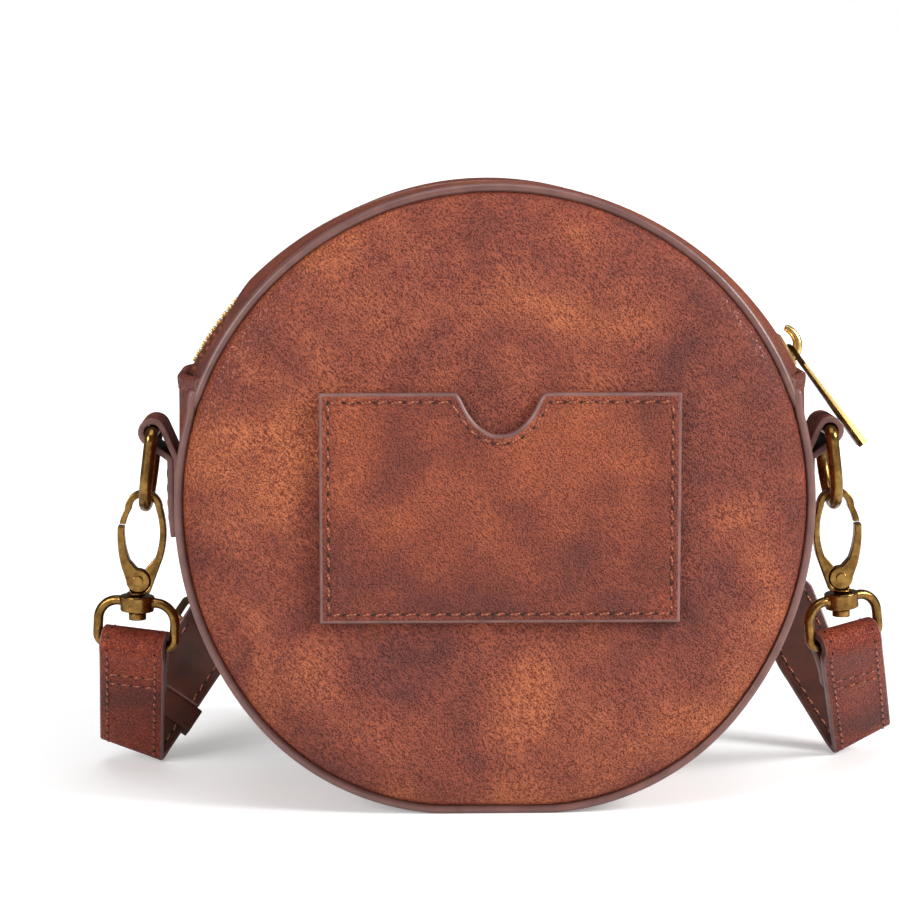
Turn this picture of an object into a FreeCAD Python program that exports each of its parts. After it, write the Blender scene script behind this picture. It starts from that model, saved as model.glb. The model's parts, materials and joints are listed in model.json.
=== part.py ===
import FreeCAD, Part
import math
import os

# A round zip-top cross-body bag, standing on the floor with its strap tucked behind it.
# Millimetres. X runs to the right, Y runs from the card-pocket side to the plain side, Z is up.
# The origin is the middle of the patch of gusset that the bag stands on.

V = FreeCAD.Vector
UP = V(0, 0, 1)
os.makedirs("parts", exist_ok=True)

# Bag body
BAG_DIAMETER = 184.0          # over the piping
FLOOR_SAG = 1.5               # how far the round outline is flattened where it stands
SIDE_FULLNESS = 8.0           # radius that the sagging lower sides gain
CORNER_TIGHTNESS = 17.0       # radius that the lower corners lose
GUSSET_WIDTH = 66.0           # from edge to edge of the band round the bag
LEATHER = 1.6                 # panels and gusset
SEAM_GAP = 0.2                # between pieces that are sewn together
PIPING_DIAMETER = 3.6
PIPING_SKIN = 0.8             # leather round the piping cord
PIPING_SLIT = 0.5             # where the two edges of that leather meet
CROWN_WIDTH = 14.2            # rounded border of each face
CROWN_DROP = 4.3              # how far the face stands out over that border
CROWN_STEPS = 4
STIFFENER = 1.0
STIFFENER_MARGIN = 1.5        # bare border of the flat face round the stiffener
LINING = 0.6
LINING_MARGIN = 1.2           # lining edge inside the panel edge

# Card pocket
POCKET_WIDTH = 103.0
POCKET_HEIGHT = 66.0
POCKET_SHIFT = 1.0            # to the right of the bag's centre line
POCKET_THICKNESS = 2.0
CARD_RECESS = 0.8
POCKET_BORDER = 4.0           # sewn border on three sides
NOTCH_WIDTH = 24.0
NOTCH_DEPTH = 12.3

# Zip
ZIP_END_RISE = 35.5           # zip ends above the bag's centre
ZIP_END_INSET = 0.6           # zip arc inside the gusset face at its ends
ZIP_SLOT = 9.0                # between the two leather edges
TAPE_THICKNESS = 0.6
TAPE_REACH = 15.0             # tape edge from the middle of the zip
TAPE_PLAY = 0.3
TOOTH_LENGTH = 2.5
TOOTH_HEIGHT = 2.4
TOOTH_THICKNESS = 1.3
TOOTH_PITCH = 2.7
TOOTH_STAGGER = 0.25          # of a pitch that each row is set off
CHAIN_GAP = 0.3               # from the middle to a tooth's tip
TAPE_TO_TOOTH = 0.1
SLIDER_LENGTH = 10.0
SLIDER_PLATE = 1.0
SLIDER_PLAY = 0.3             # slider to teeth, tape and leather
SLIDER_WEB = 0.5
SLIDER_FLANGE = 0.9
SLIDER_FROM_END = 7.03        # slider middle from the right end of the zip
BAIL_WIDTH = 2.2
BAIL_WALL = 1.2
BAIL_SPAN = 3.8
PULL_PIN = 1.3
PULL_PIN_PLAY = 0.35
PULL_LENGTH = 36.5
PULL_EYE = 5.0                # from the pin to the end of the window
PULL_EYE_ARM = 1.4
PULL_NECK = 5.2
PULL_NECK_THICKNESS = 1.4
PULL_END_WIDTH = 6.6
PULL_END_THICKNESS = 3.0
PULL_REST_GAP = 0.3           # between the resting pull and the ring tab

# Ring tabs and rings
TAB_WIDTH = 19.0
TAB_SEAT_MARGIN = 1.0         # flat stretch of gusset beside the tab
TAB_LEATHER = 1.85
TAB_LOOP_OUT = 8.2            # loop centre from the gusset face
TAB_LOOP_RISE = 18.2          # loop centre above the bag's centre
TAB_FOOT_DROP = 13.0          # sewn end below the bag's centre
TAB_LEAN_START = 8.0          # loop centre above the top of the sewn stretch
RING_WIRE = 3.8
RING_PLAY = 0.45              # ring bar in the tab loop
RING_SIDE_PLAY = 0.75         # tab edge to the ring's side
RING_CORNER = 2.3
RING_LINK = 23.0              # bar to the middle of the bow
RING_TILT = 7.0               # degrees, lower end outwards

# Swivel clips
CLIP_STEP_OUT = 5.8           # swivel axis outside the ring loop
RIVET_DROP = 45.5             # gate rivet below the ring loop
HOOK_DEPTH = 3.8
NECK_DEPTH = 2.0              # where the gate's cheeks straddle the neck
GATE_HUB = 3.5
GATE_PLAY = 0.3
CHEEK_PLAY = 0.06
RIVET_DIAMETER = 2.0
RIVET_FIT = 0.05
RIVET_HEAD_DIAMETER = 3.2
RIVET_HEAD = 0.5
RIVET_OFFSET = -0.4           # rivet from the swivel axis, minus is towards the bag
GATE_SPRING_LEAF = 0.25
POST_DIAMETER = 3.4
POST_FIT = 0.35               # a loose swivel, as on stamped clips
COLLAR_DIAMETER = 10.1
COLLAR_HEIGHT = 4.75
COLLAR_TOP_DROP = 4.6         # collar top below the rivet
COLLAR_FIT = 0.45             # end play of the collar on the post
BUTTON_DIAMETER = 5.3
BUTTON_HEIGHT = 2.2
SHOULDER_DIAMETER = 6.4
SHOULDER_HEIGHT = 0.5
EYE_WIRE = 3.0
EYE_SIDE_PLAY = 0.4           # strap edge to the eye
EYE_SHOULDER = 6.0            # bend radius of the eye's upper corners
EYE_CORNER = 2.8
EYE_ARM_DROP = 6.5            # arm centre line below the rivet
EYE_BAR_DROP = 19.8
LEFT_YAW = -12.0              # degrees, about the swivel axis
RIGHT_YAW = 22.0
LEFT_ROLL = -3.0              # degrees, the eye hanging askew on its post
RIGHT_ROLL = 7.0

# Strap and buckle
STRAP_WIDTH = 20.0
STRAP_THICKNESS = 2.6
FOLD_PLAY = 1.1               # strap round a bar
LAYER_GAP = 0.25              # between two layers of strap
FOLD_TAIL = 20.0
TAIL_FLAT_FROM = 0.72         # share of the tail past which it lies flat
TAIL_DIP_AT = 0.45            # share of the tail where it closes in behind the bar
LEFT_AIM = V(-3.4, 33, -35)   # way the strap runs down from its eye
RIGHT_AIM = V(11, 41, -37)
LEFT_STRAP_ROLL = -2.0        # degrees, strap askew in its eye
RIGHT_STRAP_ROLL = 2.6
CREASE_RADIUS = 4.6           # middle of the strap where it turns up from the floor
CREASE_STEPS = 7
LEFT_SKEW = 14.0              # degrees, crease out of square with the strap
RIGHT_SKEW = -3.0
LEFT_TURN = 112.0             # degrees that the strap turns at the crease
RIGHT_TURN = 114.0
FLOOR_GAP = 0.1
RISE_LENGTH = 37.0            # crease to buckle bar
HANK_RUNS = 7
HANK_PITCH = 5.6
HANK_HALF_LENGTH = 52.0
HANK_NEAR_Y = 66.0
BUCKLE_WIRE = 2.6
BUCKLE_LENGTH = 17.0
BUCKLE_CORNER = 3.2
BUCKLE_SIDE_PLAY = 0.8
BUCKLE_TURN = 50.0            # degrees from the strap to the frame
PRONG_DIAMETER = 1.6
PRONG_FIT = 0.08
PRONG_SLOT = 3.6
PRONG_PLAY = 0.25
STRAP_HOLE = 4.0
HOLE_PITCH = 15.0
TIP_LENGTH = 36.0             # free end past the buckle bar
KEEPER_WIDTH = 8.0
KEEPER_LEATHER = 1.6
KEEPER_BACK = 20.0            # keeper from the buckle bar

# Worked out from the sizes above
RIM = BAG_DIAMETER / 2
CENTRE_Z = RIM - FLOOR_SAG
SIDE_RADIUS = RIM + SIDE_FULLNESS
CORNER_RADIUS = RIM - CORNER_TIGHTNESS
CORNER_RUN = math.sqrt((SIDE_FULLNESS + CORNER_TIGHTNESS) ** 2 - (CORNER_TIGHTNESS - FLOOR_SAG) ** 2)
CORNER_X = CORNER_RUN - SIDE_FULLNESS
SAG_ANGLE = math.degrees(math.atan2(CORNER_TIGHTNESS - FLOOR_SAG, CORNER_RUN))
HALF_GUSSET = GUSSET_WIDTH / 2
PIPING_Y = HALF_GUSSET + SEAM_GAP + PIPING_DIAMETER / 2
PANEL_INSET = PIPING_DIAMETER + SEAM_GAP
PANEL_EDGE_Y = PIPING_Y + PIPING_DIAMETER / 2
FACE_Y = PANEL_EDGE_Y + CROWN_DROP
CROWN_RADIUS = (CROWN_WIDTH ** 2 + CROWN_DROP ** 2) / (2 * CROWN_DROP)
FLAT_INSET = PANEL_INSET + CROWN_WIDTH
ZIP_END_Z = CENTRE_Z + ZIP_END_RISE
ZIP_END_X = RIM - ZIP_END_INSET
ZIP_TOP_Z = CENTRE_Z + RIM
ZIP_AXIS_Z = (ZIP_TOP_Z ** 2 - ZIP_END_Z ** 2 - ZIP_END_X ** 2) / (2 * (ZIP_TOP_Z - ZIP_END_Z))
ZIP_RADIUS = ZIP_TOP_Z - ZIP_AXIS_Z
TAPE_RADIUS = ZIP_RADIUS - LEATHER - SEAM_GAP / 2
TOOTH_RADIUS = TAPE_RADIUS - TAPE_THICKNESS / 2
TOOTH_END = CHAIN_GAP + TOOTH_LENGTH
SLIDER_HALF_WIDTH = ZIP_SLOT / 2 - SLIDER_PLAY
SLIDER_TOP_INNER = TOOTH_RADIUS + TOOTH_HEIGHT / 2 + SLIDER_PLAY
SLIDER_TOP = SLIDER_TOP_INNER + SLIDER_PLATE
SLIDER_BOTTOM_INNER = TOOTH_RADIUS - TOOTH_HEIGHT / 2 - SLIDER_PLAY
SLIDER_BOTTOM = SLIDER_BOTTOM_INNER - SLIDER_PLATE
SLIDER_REST = math.degrees(math.acos((ZIP_END_Z - ZIP_AXIS_Z) / ZIP_RADIUS) - SLIDER_FROM_END / ZIP_RADIUS)
PULL_PIVOT = SLIDER_TOP + PULL_PIN_PLAY + PULL_PIN / 2
TAB_FACE = RIM + SEAM_GAP
LOOP_X = RIM + TAB_LOOP_OUT
LOOP_Z = CENTRE_Z + TAB_LOOP_RISE
LOOP_INNER = RING_WIRE / 2 + RING_PLAY
LOOP_OUTER = LOOP_INNER + TAB_LEATHER
RING_HALF = TAB_WIDTH / 2 + RING_SIDE_PLAY + RING_WIRE / 2
CLIP_OUT = LOOP_X + CLIP_STEP_OUT
RIVET_RISE = LOOP_Z - RIVET_DROP
COLLAR_TOP = RIVET_RISE - COLLAR_TOP_DROP
COLLAR_BOTTOM = COLLAR_TOP - COLLAR_HEIGHT
COLLAR_MIDDLE = (COLLAR_TOP + COLLAR_BOTTOM) / 2
EYE_BAR_Z = RIVET_RISE - EYE_BAR_DROP
EYE_HALF = STRAP_WIDTH / 2 + EYE_SIDE_PLAY + EYE_WIRE / 2
BUCKLE_HALF = STRAP_WIDTH / 2 + BUCKLE_SIDE_PLAY + BUCKLE_WIRE / 2


# Drawing helpers: an outline is a list of segments (start, through, end) in the X-Z plane

def polar(x, z, radius, degrees):
    angle = math.radians(degrees)
    return (x + radius * math.cos(angle), z + radius * math.sin(angle))


def arc(x, z, radius, first, last):
    return (polar(x, z, radius, first), polar(x, z, radius, (first + last) / 2), polar(x, z, radius, last))


def line(start, end):
    return (start, None, end)


def chain(*points):
    return [line(a, b) for a, b in zip(points, points[1:])]


def backwards(segments):
    return [(end, through, start) for start, through, end in reversed(segments)]


def mirrored(segments):
    def flip(point):
        return None if point is None else (-point[0], point[1])
    return backwards([tuple(flip(point) for point in segment) for segment in segments])


def wire(segments, y):
    edges = []
    for start, through, end in segments:
        first = V(start[0], y, start[1])
        last = V(end[0], y, end[1])
        if through is None:
            edges.append(Part.LineSegment(first, last).toShape())
        else:
            edges.append(Part.Arc(first, V(through[0], y, through[1]), last).toShape())
    return Part.Wire(edges)


def slab(segments, y_low, y_high):
    face = Part.Face(wire(segments, y_low))
    return face.extrude(V(0, y_high - y_low, 0))


def loft(wires):
    return Part.makeLoft(wires, True, True)


def round_wire(path, circle, square):
    pipe = Part.BRepOffsetAPI.MakePipeShell(path)
    pipe.setBiNormalMode(square)
    pipe.add(circle)
    pipe.build()
    pipe.makeSolid()
    return pipe.shape()


def save(name, shape):
    if shape.ShapeType == "Compound" and len(shape.Solids) == 1:
        shape = shape.Solids[0]
    box = shape.BoundBox
    print(name, "solids", len(shape.Solids), "valid", shape.isValid(), "volume", round(shape.Volume, 1),
          "z", round(box.ZMin, 2), round(box.ZMax, 2))
    shape.exportStep("parts/" + name + ".step")


# The rim outline: round above, a little fuller below, flat where the bag stands

def lower_half(inset):
    right = [arc(-SIDE_FULLNESS, CENTRE_Z, SIDE_RADIUS - inset, 0, -SAG_ANGLE),
             arc(CORNER_X, CORNER_RADIUS, CORNER_RADIUS - inset, -SAG_ANGLE, -90)]
    return right + [line((CORNER_X, inset), (-CORNER_X, inset))] + mirrored(right)


def outline(inset):
    right = [arc(0, CENTRE_Z, RIM - inset, 90, 0)]
    return right + lower_half(inset) + mirrored(right)


# Face panels with their stiffener and lining: dishes with the same crown, one behind the other

def crown_y(inset):
    run = max(0.0, FLAT_INSET - inset)
    return FACE_Y - CROWN_RADIUS + math.sqrt(CROWN_RADIUS ** 2 - run ** 2)


def dome(edge_inset, depth, skirt):
    insets = [edge_inset + (FLAT_INSET - edge_inset) * k / CROWN_STEPS for k in range(CROWN_STEPS + 1)]
    rings = [wire(outline(edge_inset), crown_y(edge_inset) - depth - skirt)]
    rings += [wire(outline(inset), crown_y(inset) - depth) for inset in insets]
    return loft(rings)


def dish(edge_inset, depth, thickness):
    return dome(edge_inset, depth, thickness).cut(dome(edge_inset, depth + thickness, 2 * thickness))


def two_sides(name_plain, name_pocket, shape):
    save(name_plain, shape)
    save(name_pocket, shape.mirror(V(0, 0, 0), V(0, 1, 0)))


def build_faces():
    two_sides("front_panel", "back_panel", dish(PANEL_INSET, 0, LEATHER))
    stiffener_y = FACE_Y - LEATHER - SEAM_GAP / 2
    stiffener = slab(outline(FLAT_INSET + STIFFENER_MARGIN), stiffener_y - STIFFENER, stiffener_y)
    two_sides("front_stiffener", "back_stiffener", stiffener)
    lining_depth = LEATHER + STIFFENER + SEAM_GAP
    two_sides("lining_front", "lining_back", dish(PANEL_INSET + LINING_MARGIN, lining_depth, LINING))


# Piping: a leather skin folded round a cord, sewn into the seam all round

def sweep_round(profile, inset, y):
    return round_wire(wire(outline(inset), y), profile, V(0, 1, 0))


def piping_profile(y):
    outer = PIPING_DIAMETER / 2
    inner = outer - PIPING_SKIN
    centre = V(0, y, ZIP_TOP_Z - outer)

    def at(radius, angle):
        return centre + V(0, radius * math.sin(angle), -radius * math.cos(angle))
    outer_slit = PIPING_SLIT / 2 / outer
    inner_slit = PIPING_SLIT / 2 / inner
    edges = [Part.Arc(at(outer, outer_slit), at(outer, math.pi), at(outer, -outer_slit)).toShape(),
             Part.LineSegment(at(outer, -outer_slit), at(inner, -inner_slit)).toShape(),
             Part.Arc(at(inner, -inner_slit), at(inner, math.pi), at(inner, inner_slit)).toShape(),
             Part.LineSegment(at(inner, inner_slit), at(outer, outer_slit)).toShape()]
    return Part.Wire(edges)


def build_piping():
    middle = PIPING_DIAMETER / 2
    skin = sweep_round(piping_profile(PIPING_Y), middle, PIPING_Y)
    two_sides("front_piping", "back_piping", skin)
    cord_radius = middle - PIPING_SKIN - SEAM_GAP / 2
    circle = Part.makeCircle(cord_radius, V(0, PIPING_Y, ZIP_TOP_Z - middle), V(1, 0, 0))
    cord = sweep_round(Part.Wire([circle]), middle, PIPING_Y)
    two_sides("front_piping_cord", "back_piping_cord", cord)


# The band round the bag: a lower gusset up to the zip ends, and the zip over the top

def gusset_path(inset, upright):
    radius = RIM - inset
    if upright:
        start = [line((radius, ZIP_END_Z), (radius, CENTRE_Z))]
    else:
        end_angle = math.degrees(math.asin(ZIP_END_RISE / radius))
        start = [arc(0, CENTRE_Z, radius, end_angle, 0)]
    return start + lower_half(inset) + mirrored(start)


def band(path, inner_path):
    across = line(path[-1][2], inner_path[-1][2])
    back = line(inner_path[0][0], path[0][0])
    return path + [across] + backwards(inner_path) + [back]


def build_gusset():
    flat_half = TAB_WIDTH / 2 + TAB_SEAT_MARGIN
    sections = []
    for y in (-HALF_GUSSET, -flat_half, flat_half, HALF_GUSSET):
        upright = abs(y) < HALF_GUSSET
        outer = gusset_path(0, upright)
        inner = gusset_path(LEATHER, upright)
        sections.append(wire(band(outer, inner), y))
    save("lower_gusset", loft(sections))

    lining_outer = LEATHER + SEAM_GAP
    ring = slab(outline(lining_outer), -HALF_GUSSET, HALF_GUSSET)
    ring = ring.cut(slab(outline(lining_outer + LINING), -HALF_GUSSET - 1, HALF_GUSSET + 1))
    mouth_half = TAPE_REACH + LINING_MARGIN
    mouth_low = V(-RIM, -mouth_half, ZIP_END_Z)
    ring = ring.cut(Part.makeBox(BAG_DIAMETER, 2 * mouth_half, BAG_DIAMETER, mouth_low))
    save("lining_gusset", ring)


def zip_arc(radius, end_z, axis_z):
    end = math.degrees(math.asin((end_z - axis_z) / radius))
    return arc(0, axis_z, radius, 180 - end, end)


def arc_through_top(half_span, end_z, top_z):
    return ((-half_span, end_z), (0, top_z), (half_span, end_z))


def build_zip_bands():
    end_z = ZIP_END_Z + SEAM_GAP
    edge_outer = [zip_arc(RIM, end_z, CENTRE_Z)]
    edge_inner = [zip_arc(RIM - LEATHER, end_z, CENTRE_Z)]
    slot_outer = [zip_arc(ZIP_RADIUS, end_z, ZIP_AXIS_Z)]
    slot_inner = [zip_arc(ZIP_RADIUS - LEATHER, end_z, ZIP_AXIS_Z)]
    strip = loft([wire(band(edge_outer, edge_inner), HALF_GUSSET),
                  wire(band(slot_outer, slot_inner), ZIP_SLOT / 2)])
    two_sides("zip_strip_front", "zip_strip_back", strip)

    tape_outer = [zip_arc(TAPE_RADIUS, end_z, ZIP_AXIS_Z)]
    tape_inner = [zip_arc(TAPE_RADIUS - TAPE_THICKNESS, end_z, ZIP_AXIS_Z)]
    share = (TAPE_REACH - ZIP_SLOT / 2) / (HALF_GUSSET - ZIP_SLOT / 2)
    under_span = slot_inner[0][2][0] * (1 - share) + edge_inner[0][2][0] * share - TAPE_PLAY
    under_top = slot_inner[0][1][1] * (1 - share) + edge_inner[0][1][1] * share - TAPE_PLAY
    far_outer = [arc_through_top(under_span, end_z, under_top)]
    far_inner = [arc_through_top(under_span - TAPE_THICKNESS, end_z, under_top - TAPE_THICKNESS)]
    near_y = TOOTH_END + TAPE_TO_TOOTH
    tape = loft([wire(band(tape_outer, tape_inner), near_y),
                 wire(band(tape_outer, tape_inner), ZIP_SLOT / 2),
                 wire(band(far_outer, far_inner), TAPE_REACH)])
    two_sides("zip_tape_front", "zip_tape_back", tape)


def build_teeth():
    axis = V(0, 0, ZIP_AXIS_Z)
    low = V(-TOOTH_THICKNESS / 2, CHAIN_GAP, ZIP_AXIS_Z + TOOTH_RADIUS - TOOTH_HEIGHT / 2)
    tooth = Part.makeBox(TOOTH_THICKNESS, TOOTH_LENGTH, TOOTH_HEIGHT, low)
    pitch_angle = math.degrees(TOOTH_PITCH / TOOTH_RADIUS)
    tooth_angle = math.degrees(TOOTH_THICKNESS / TOOTH_RADIUS)
    reach = 90 - math.degrees(math.asin((ZIP_END_Z + SEAM_GAP - ZIP_AXIS_Z) / TOOTH_RADIUS)) - tooth_angle
    count = int(reach / pitch_angle - 0.5)
    for name, side, shift in (("zip_teeth_front", 1, TOOTH_STAGGER), ("zip_teeth_back", -1, -TOOTH_STAGGER)):
        teeth = []
        for k in range(-count, count + 1):
            copy = tooth.copy()
            copy.rotate(axis, V(0, 1, 0), (k + shift) * pitch_angle)
            if side < 0:
                copy = copy.mirror(V(0, 0, 0), V(0, 1, 0))
            teeth.append(copy)
        save(name, Part.makeCompound(teeth))


# Slider and pull, drawn at the top of the zip and turned to where they rest

def at_slider(shape):
    shape.rotate(V(0, 0, ZIP_AXIS_Z), V(0, 1, 0), SLIDER_REST)
    return shape


def slider_section():
    half = SLIDER_HALF_WIDTH
    flange = half - SLIDER_FLANGE
    web = SLIDER_WEB / 2
    tape_top = TAPE_RADIUS + SLIDER_PLAY
    tape_bottom = TAPE_RADIUS - TAPE_THICKNESS - SLIDER_PLAY
    right = [(web, SLIDER_BOTTOM_INNER), (flange, SLIDER_BOTTOM_INNER), (flange, tape_bottom),
             (half, tape_bottom), (half, SLIDER_BOTTOM)]
    right_top = [(half, SLIDER_TOP), (half, tape_top), (flange, tape_top), (flange, SLIDER_TOP_INNER),
                 (web, SLIDER_TOP_INNER)]
    loop = right_top + right
    loop += [(-y, r) for y, r in reversed(loop)]
    points = [V(0, y, ZIP_AXIS_Z + r) for y, r in loop]
    return Part.Face(Part.makePolygon(points + [points[0]]))


def arch(half_span, height, base):
    return [line((-half_span, base), (-half_span, base + height / 2)),
            ((-half_span, base + height / 2), (0, base + height), (half_span, base + height / 2)),
            line((half_span, base + height / 2), (half_span, base)),
            line((half_span, base), (-half_span, base))]


def build_slider():
    half_angle = math.degrees(SLIDER_LENGTH / 2 / SLIDER_TOP)
    section = slider_section()
    section.rotate(V(0, 0, ZIP_AXIS_Z), V(0, 1, 0), -half_angle)
    body = section.revolve(V(0, 0, ZIP_AXIS_Z), V(0, 1, 0), 2 * half_angle)
    base = ZIP_AXIS_Z + SLIDER_TOP
    window = 2 * PULL_PIN_PLAY + PULL_PIN
    seat = SLIDER_PLATE / 2
    bail = slab(arch(BAIL_SPAN / 2 + BAIL_WALL, window + BAIL_WALL + seat, base - seat),
                -BAIL_WIDTH / 2, BAIL_WIDTH / 2)
    bail = bail.cut(slab(arch(BAIL_SPAN / 2, window, base), -BAIL_WIDTH, BAIL_WIDTH))
    save("slider_body", at_slider(body.fuse(bail).removeSplitter()))


def rectangle_at(x, width, thickness):
    y = width / 2
    z = thickness / 2
    points = [V(x, -y, -z), V(x, y, -z), V(x, y, z), V(x, -y, z)]
    return Part.makePolygon(points + [points[0]])


def pull_rest_turn():
    turn = math.radians(SLIDER_REST)
    pivot_x = PULL_PIVOT * math.sin(turn)
    pivot_z = ZIP_AXIS_Z + PULL_PIVOT * math.cos(turn)
    run = math.hypot(LOOP_X - pivot_x, LOOP_Z - pivot_z)
    to_loop = math.degrees(math.atan2(pivot_z - LOOP_Z, LOOP_X - pivot_x))
    stand_off = LOOP_OUTER + PULL_END_THICKNESS / 2 + PULL_REST_GAP
    return to_loop - math.degrees(math.asin(stand_off / run))


def build_pull():
    eye_half = BAIL_WIDTH / 2 + SLIDER_PLAY + PULL_EYE_ARM
    pin = Part.makeCylinder(PULL_PIN / 2, 2 * eye_half, V(0, -eye_half, 0), V(0, 1, 0))
    eye_end = PULL_EYE + PULL_EYE_ARM
    eye = Part.makeBox(eye_end, 2 * eye_half, PULL_PIN, V(0, -eye_half, -PULL_PIN / 2))
    gap = eye_half - PULL_EYE_ARM
    eye = eye.cut(Part.makeBox(PULL_EYE, 2 * gap, 2 * PULL_PIN, V(0, -gap, -PULL_PIN)))
    handle = loft([rectangle_at(PULL_EYE, PULL_NECK, PULL_NECK_THICKNESS),
                   rectangle_at(PULL_LENGTH, PULL_END_WIDTH, PULL_END_THICKNESS)])
    pull = pin.fuse([eye, handle]).removeSplitter()
    turn = math.radians(SLIDER_REST)
    pull.rotate(V(0, 0, 0), V(0, 1, 0), pull_rest_turn())
    pull.translate(V(PULL_PIVOT * math.sin(turn), 0, ZIP_AXIS_Z + PULL_PIVOT * math.cos(turn)))
    save("pull_tab", pull)


# Card pocket on the back face

def build_pocket():
    half = POCKET_WIDTH / 2
    low = CENTRE_Z - POCKET_HEIGHT / 2
    high = CENTRE_Z + POCKET_HEIGHT / 2
    notch = NOTCH_WIDTH / 2
    shape = chain((POCKET_SHIFT - half, high), (POCKET_SHIFT - half, low), (POCKET_SHIFT + half, low),
                  (POCKET_SHIFT + half, high), (POCKET_SHIFT + notch, high))
    shape.append(((POCKET_SHIFT + notch, high), (POCKET_SHIFT, high - NOTCH_DEPTH),
                  (POCKET_SHIFT - notch, high)))
    shape.append(line((POCKET_SHIFT - notch, high), (POCKET_SHIFT - half, high)))
    inner_y = -FACE_Y - SEAM_GAP / 4
    pocket = slab(shape, inner_y - POCKET_THICKNESS, inner_y)
    recess_low = V(POCKET_SHIFT - half + POCKET_BORDER, inner_y - CARD_RECESS, low + POCKET_BORDER)
    recess = Part.makeBox(POCKET_WIDTH - 2 * POCKET_BORDER, 2 * CARD_RECESS, POCKET_HEIGHT, recess_low)
    save("card_pocket", pocket.cut(recess))


# Ring tabs and rings

def both_sides(name, shape):
    save(name + "_right", shape)
    save(name + "_left", shape.mirror(V(0, 0, 0), V(1, 0, 0)))


def tangent(start, upper):
    run_x = LOOP_X - start[0]
    run_z = LOOP_Z - start[1]
    lean = math.degrees(math.asin(LOOP_OUTER / math.hypot(run_x, run_z)))
    heading = math.degrees(math.atan2(run_z, run_x))
    return heading + lean + 90 if upper else heading - lean - 90


def build_tabs():
    near = SIDE_RADIUS + SEAM_GAP
    far = near + 2 * TAB_LEATHER
    near_foot = -math.degrees(math.asin(TAB_FOOT_DROP / near))
    far_foot = -math.degrees(math.asin(TAB_FOOT_DROP / far))
    lean_z = LOOP_Z - TAB_LEAN_START
    inside = (TAB_FACE, lean_z)
    outside = (TAB_FACE + 2 * TAB_LEATHER, lean_z)
    over = arc(LOOP_X, LOOP_Z, LOOP_OUTER, tangent(inside, True), tangent(outside, False))
    shape = [arc(-SIDE_FULLNESS, CENTRE_Z, near, near_foot, 0)]
    shape += chain((TAB_FACE, CENTRE_Z), inside, over[0])
    shape.append(over)
    shape += chain(over[2], outside, (outside[0], CENTRE_Z))
    shape.append(arc(-SIDE_FULLNESS, CENTRE_Z, far, 0, far_foot))
    shape.append(line(shape[-1][2], shape[0][0]))
    tab = slab(shape, -TAB_WIDTH / 2, TAB_WIDTH / 2)
    hole = Part.makeCylinder(LOOP_INNER, 2 * TAB_WIDTH, V(LOOP_X, -TAB_WIDTH, LOOP_Z), V(0, 1, 0))
    both_sides("ring_tab", tab.cut(hole))


def build_rings():
    bow = RING_HALF
    leg_end = -(RING_LINK - bow)
    corner = RING_CORNER
    points = [(0, 0), (bow - corner, 0), (bow, -corner), (bow, leg_end), (-bow, leg_end),
              (-bow, -corner), (corner - bow, 0)]
    spots = [V(0, y, z) for y, z in points]
    cut = corner * (1 - math.sqrt(0.5))
    edges = [Part.LineSegment(spots[0], spots[1]).toShape(),
             Part.Arc(spots[1], V(0, bow - cut, -cut), spots[2]).toShape(),
             Part.LineSegment(spots[2], spots[3]).toShape(),
             Part.Arc(spots[3], V(0, 0, -RING_LINK), spots[4]).toShape(),
             Part.LineSegment(spots[4], spots[5]).toShape(),
             Part.Arc(spots[5], V(0, cut - bow, -cut), spots[6]).toShape(),
             Part.LineSegment(spots[6], spots[0]).toShape()]
    circle = Part.Wire([Part.makeCircle(RING_WIRE / 2, V(0, 0, 0), V(0, 1, 0))])
    ring = round_wire(Part.Wire(edges), circle, V(1, 0, 0))
    ring.rotate(V(0, 0, 0), V(0, 1, 0), -RING_TILT)
    ring.translate(V(LOOP_X, 0, LOOP_Z))
    both_sides("ring", ring)


# Swivel clips: u runs outwards from the swivel axis, v up from the rivet

def clip_outline(*parts):
    moved = []
    for part in parts:
        moved.append(tuple(None if p is None else (CLIP_OUT + p[0], RIVET_RISE + p[1]) for p in part))
    return moved


def clip_cylinder(radius, depth):
    return Part.makeCylinder(radius, depth, V(CLIP_OUT + RIVET_OFFSET, -depth / 2, RIVET_RISE), V(0, 1, 0))


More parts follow.
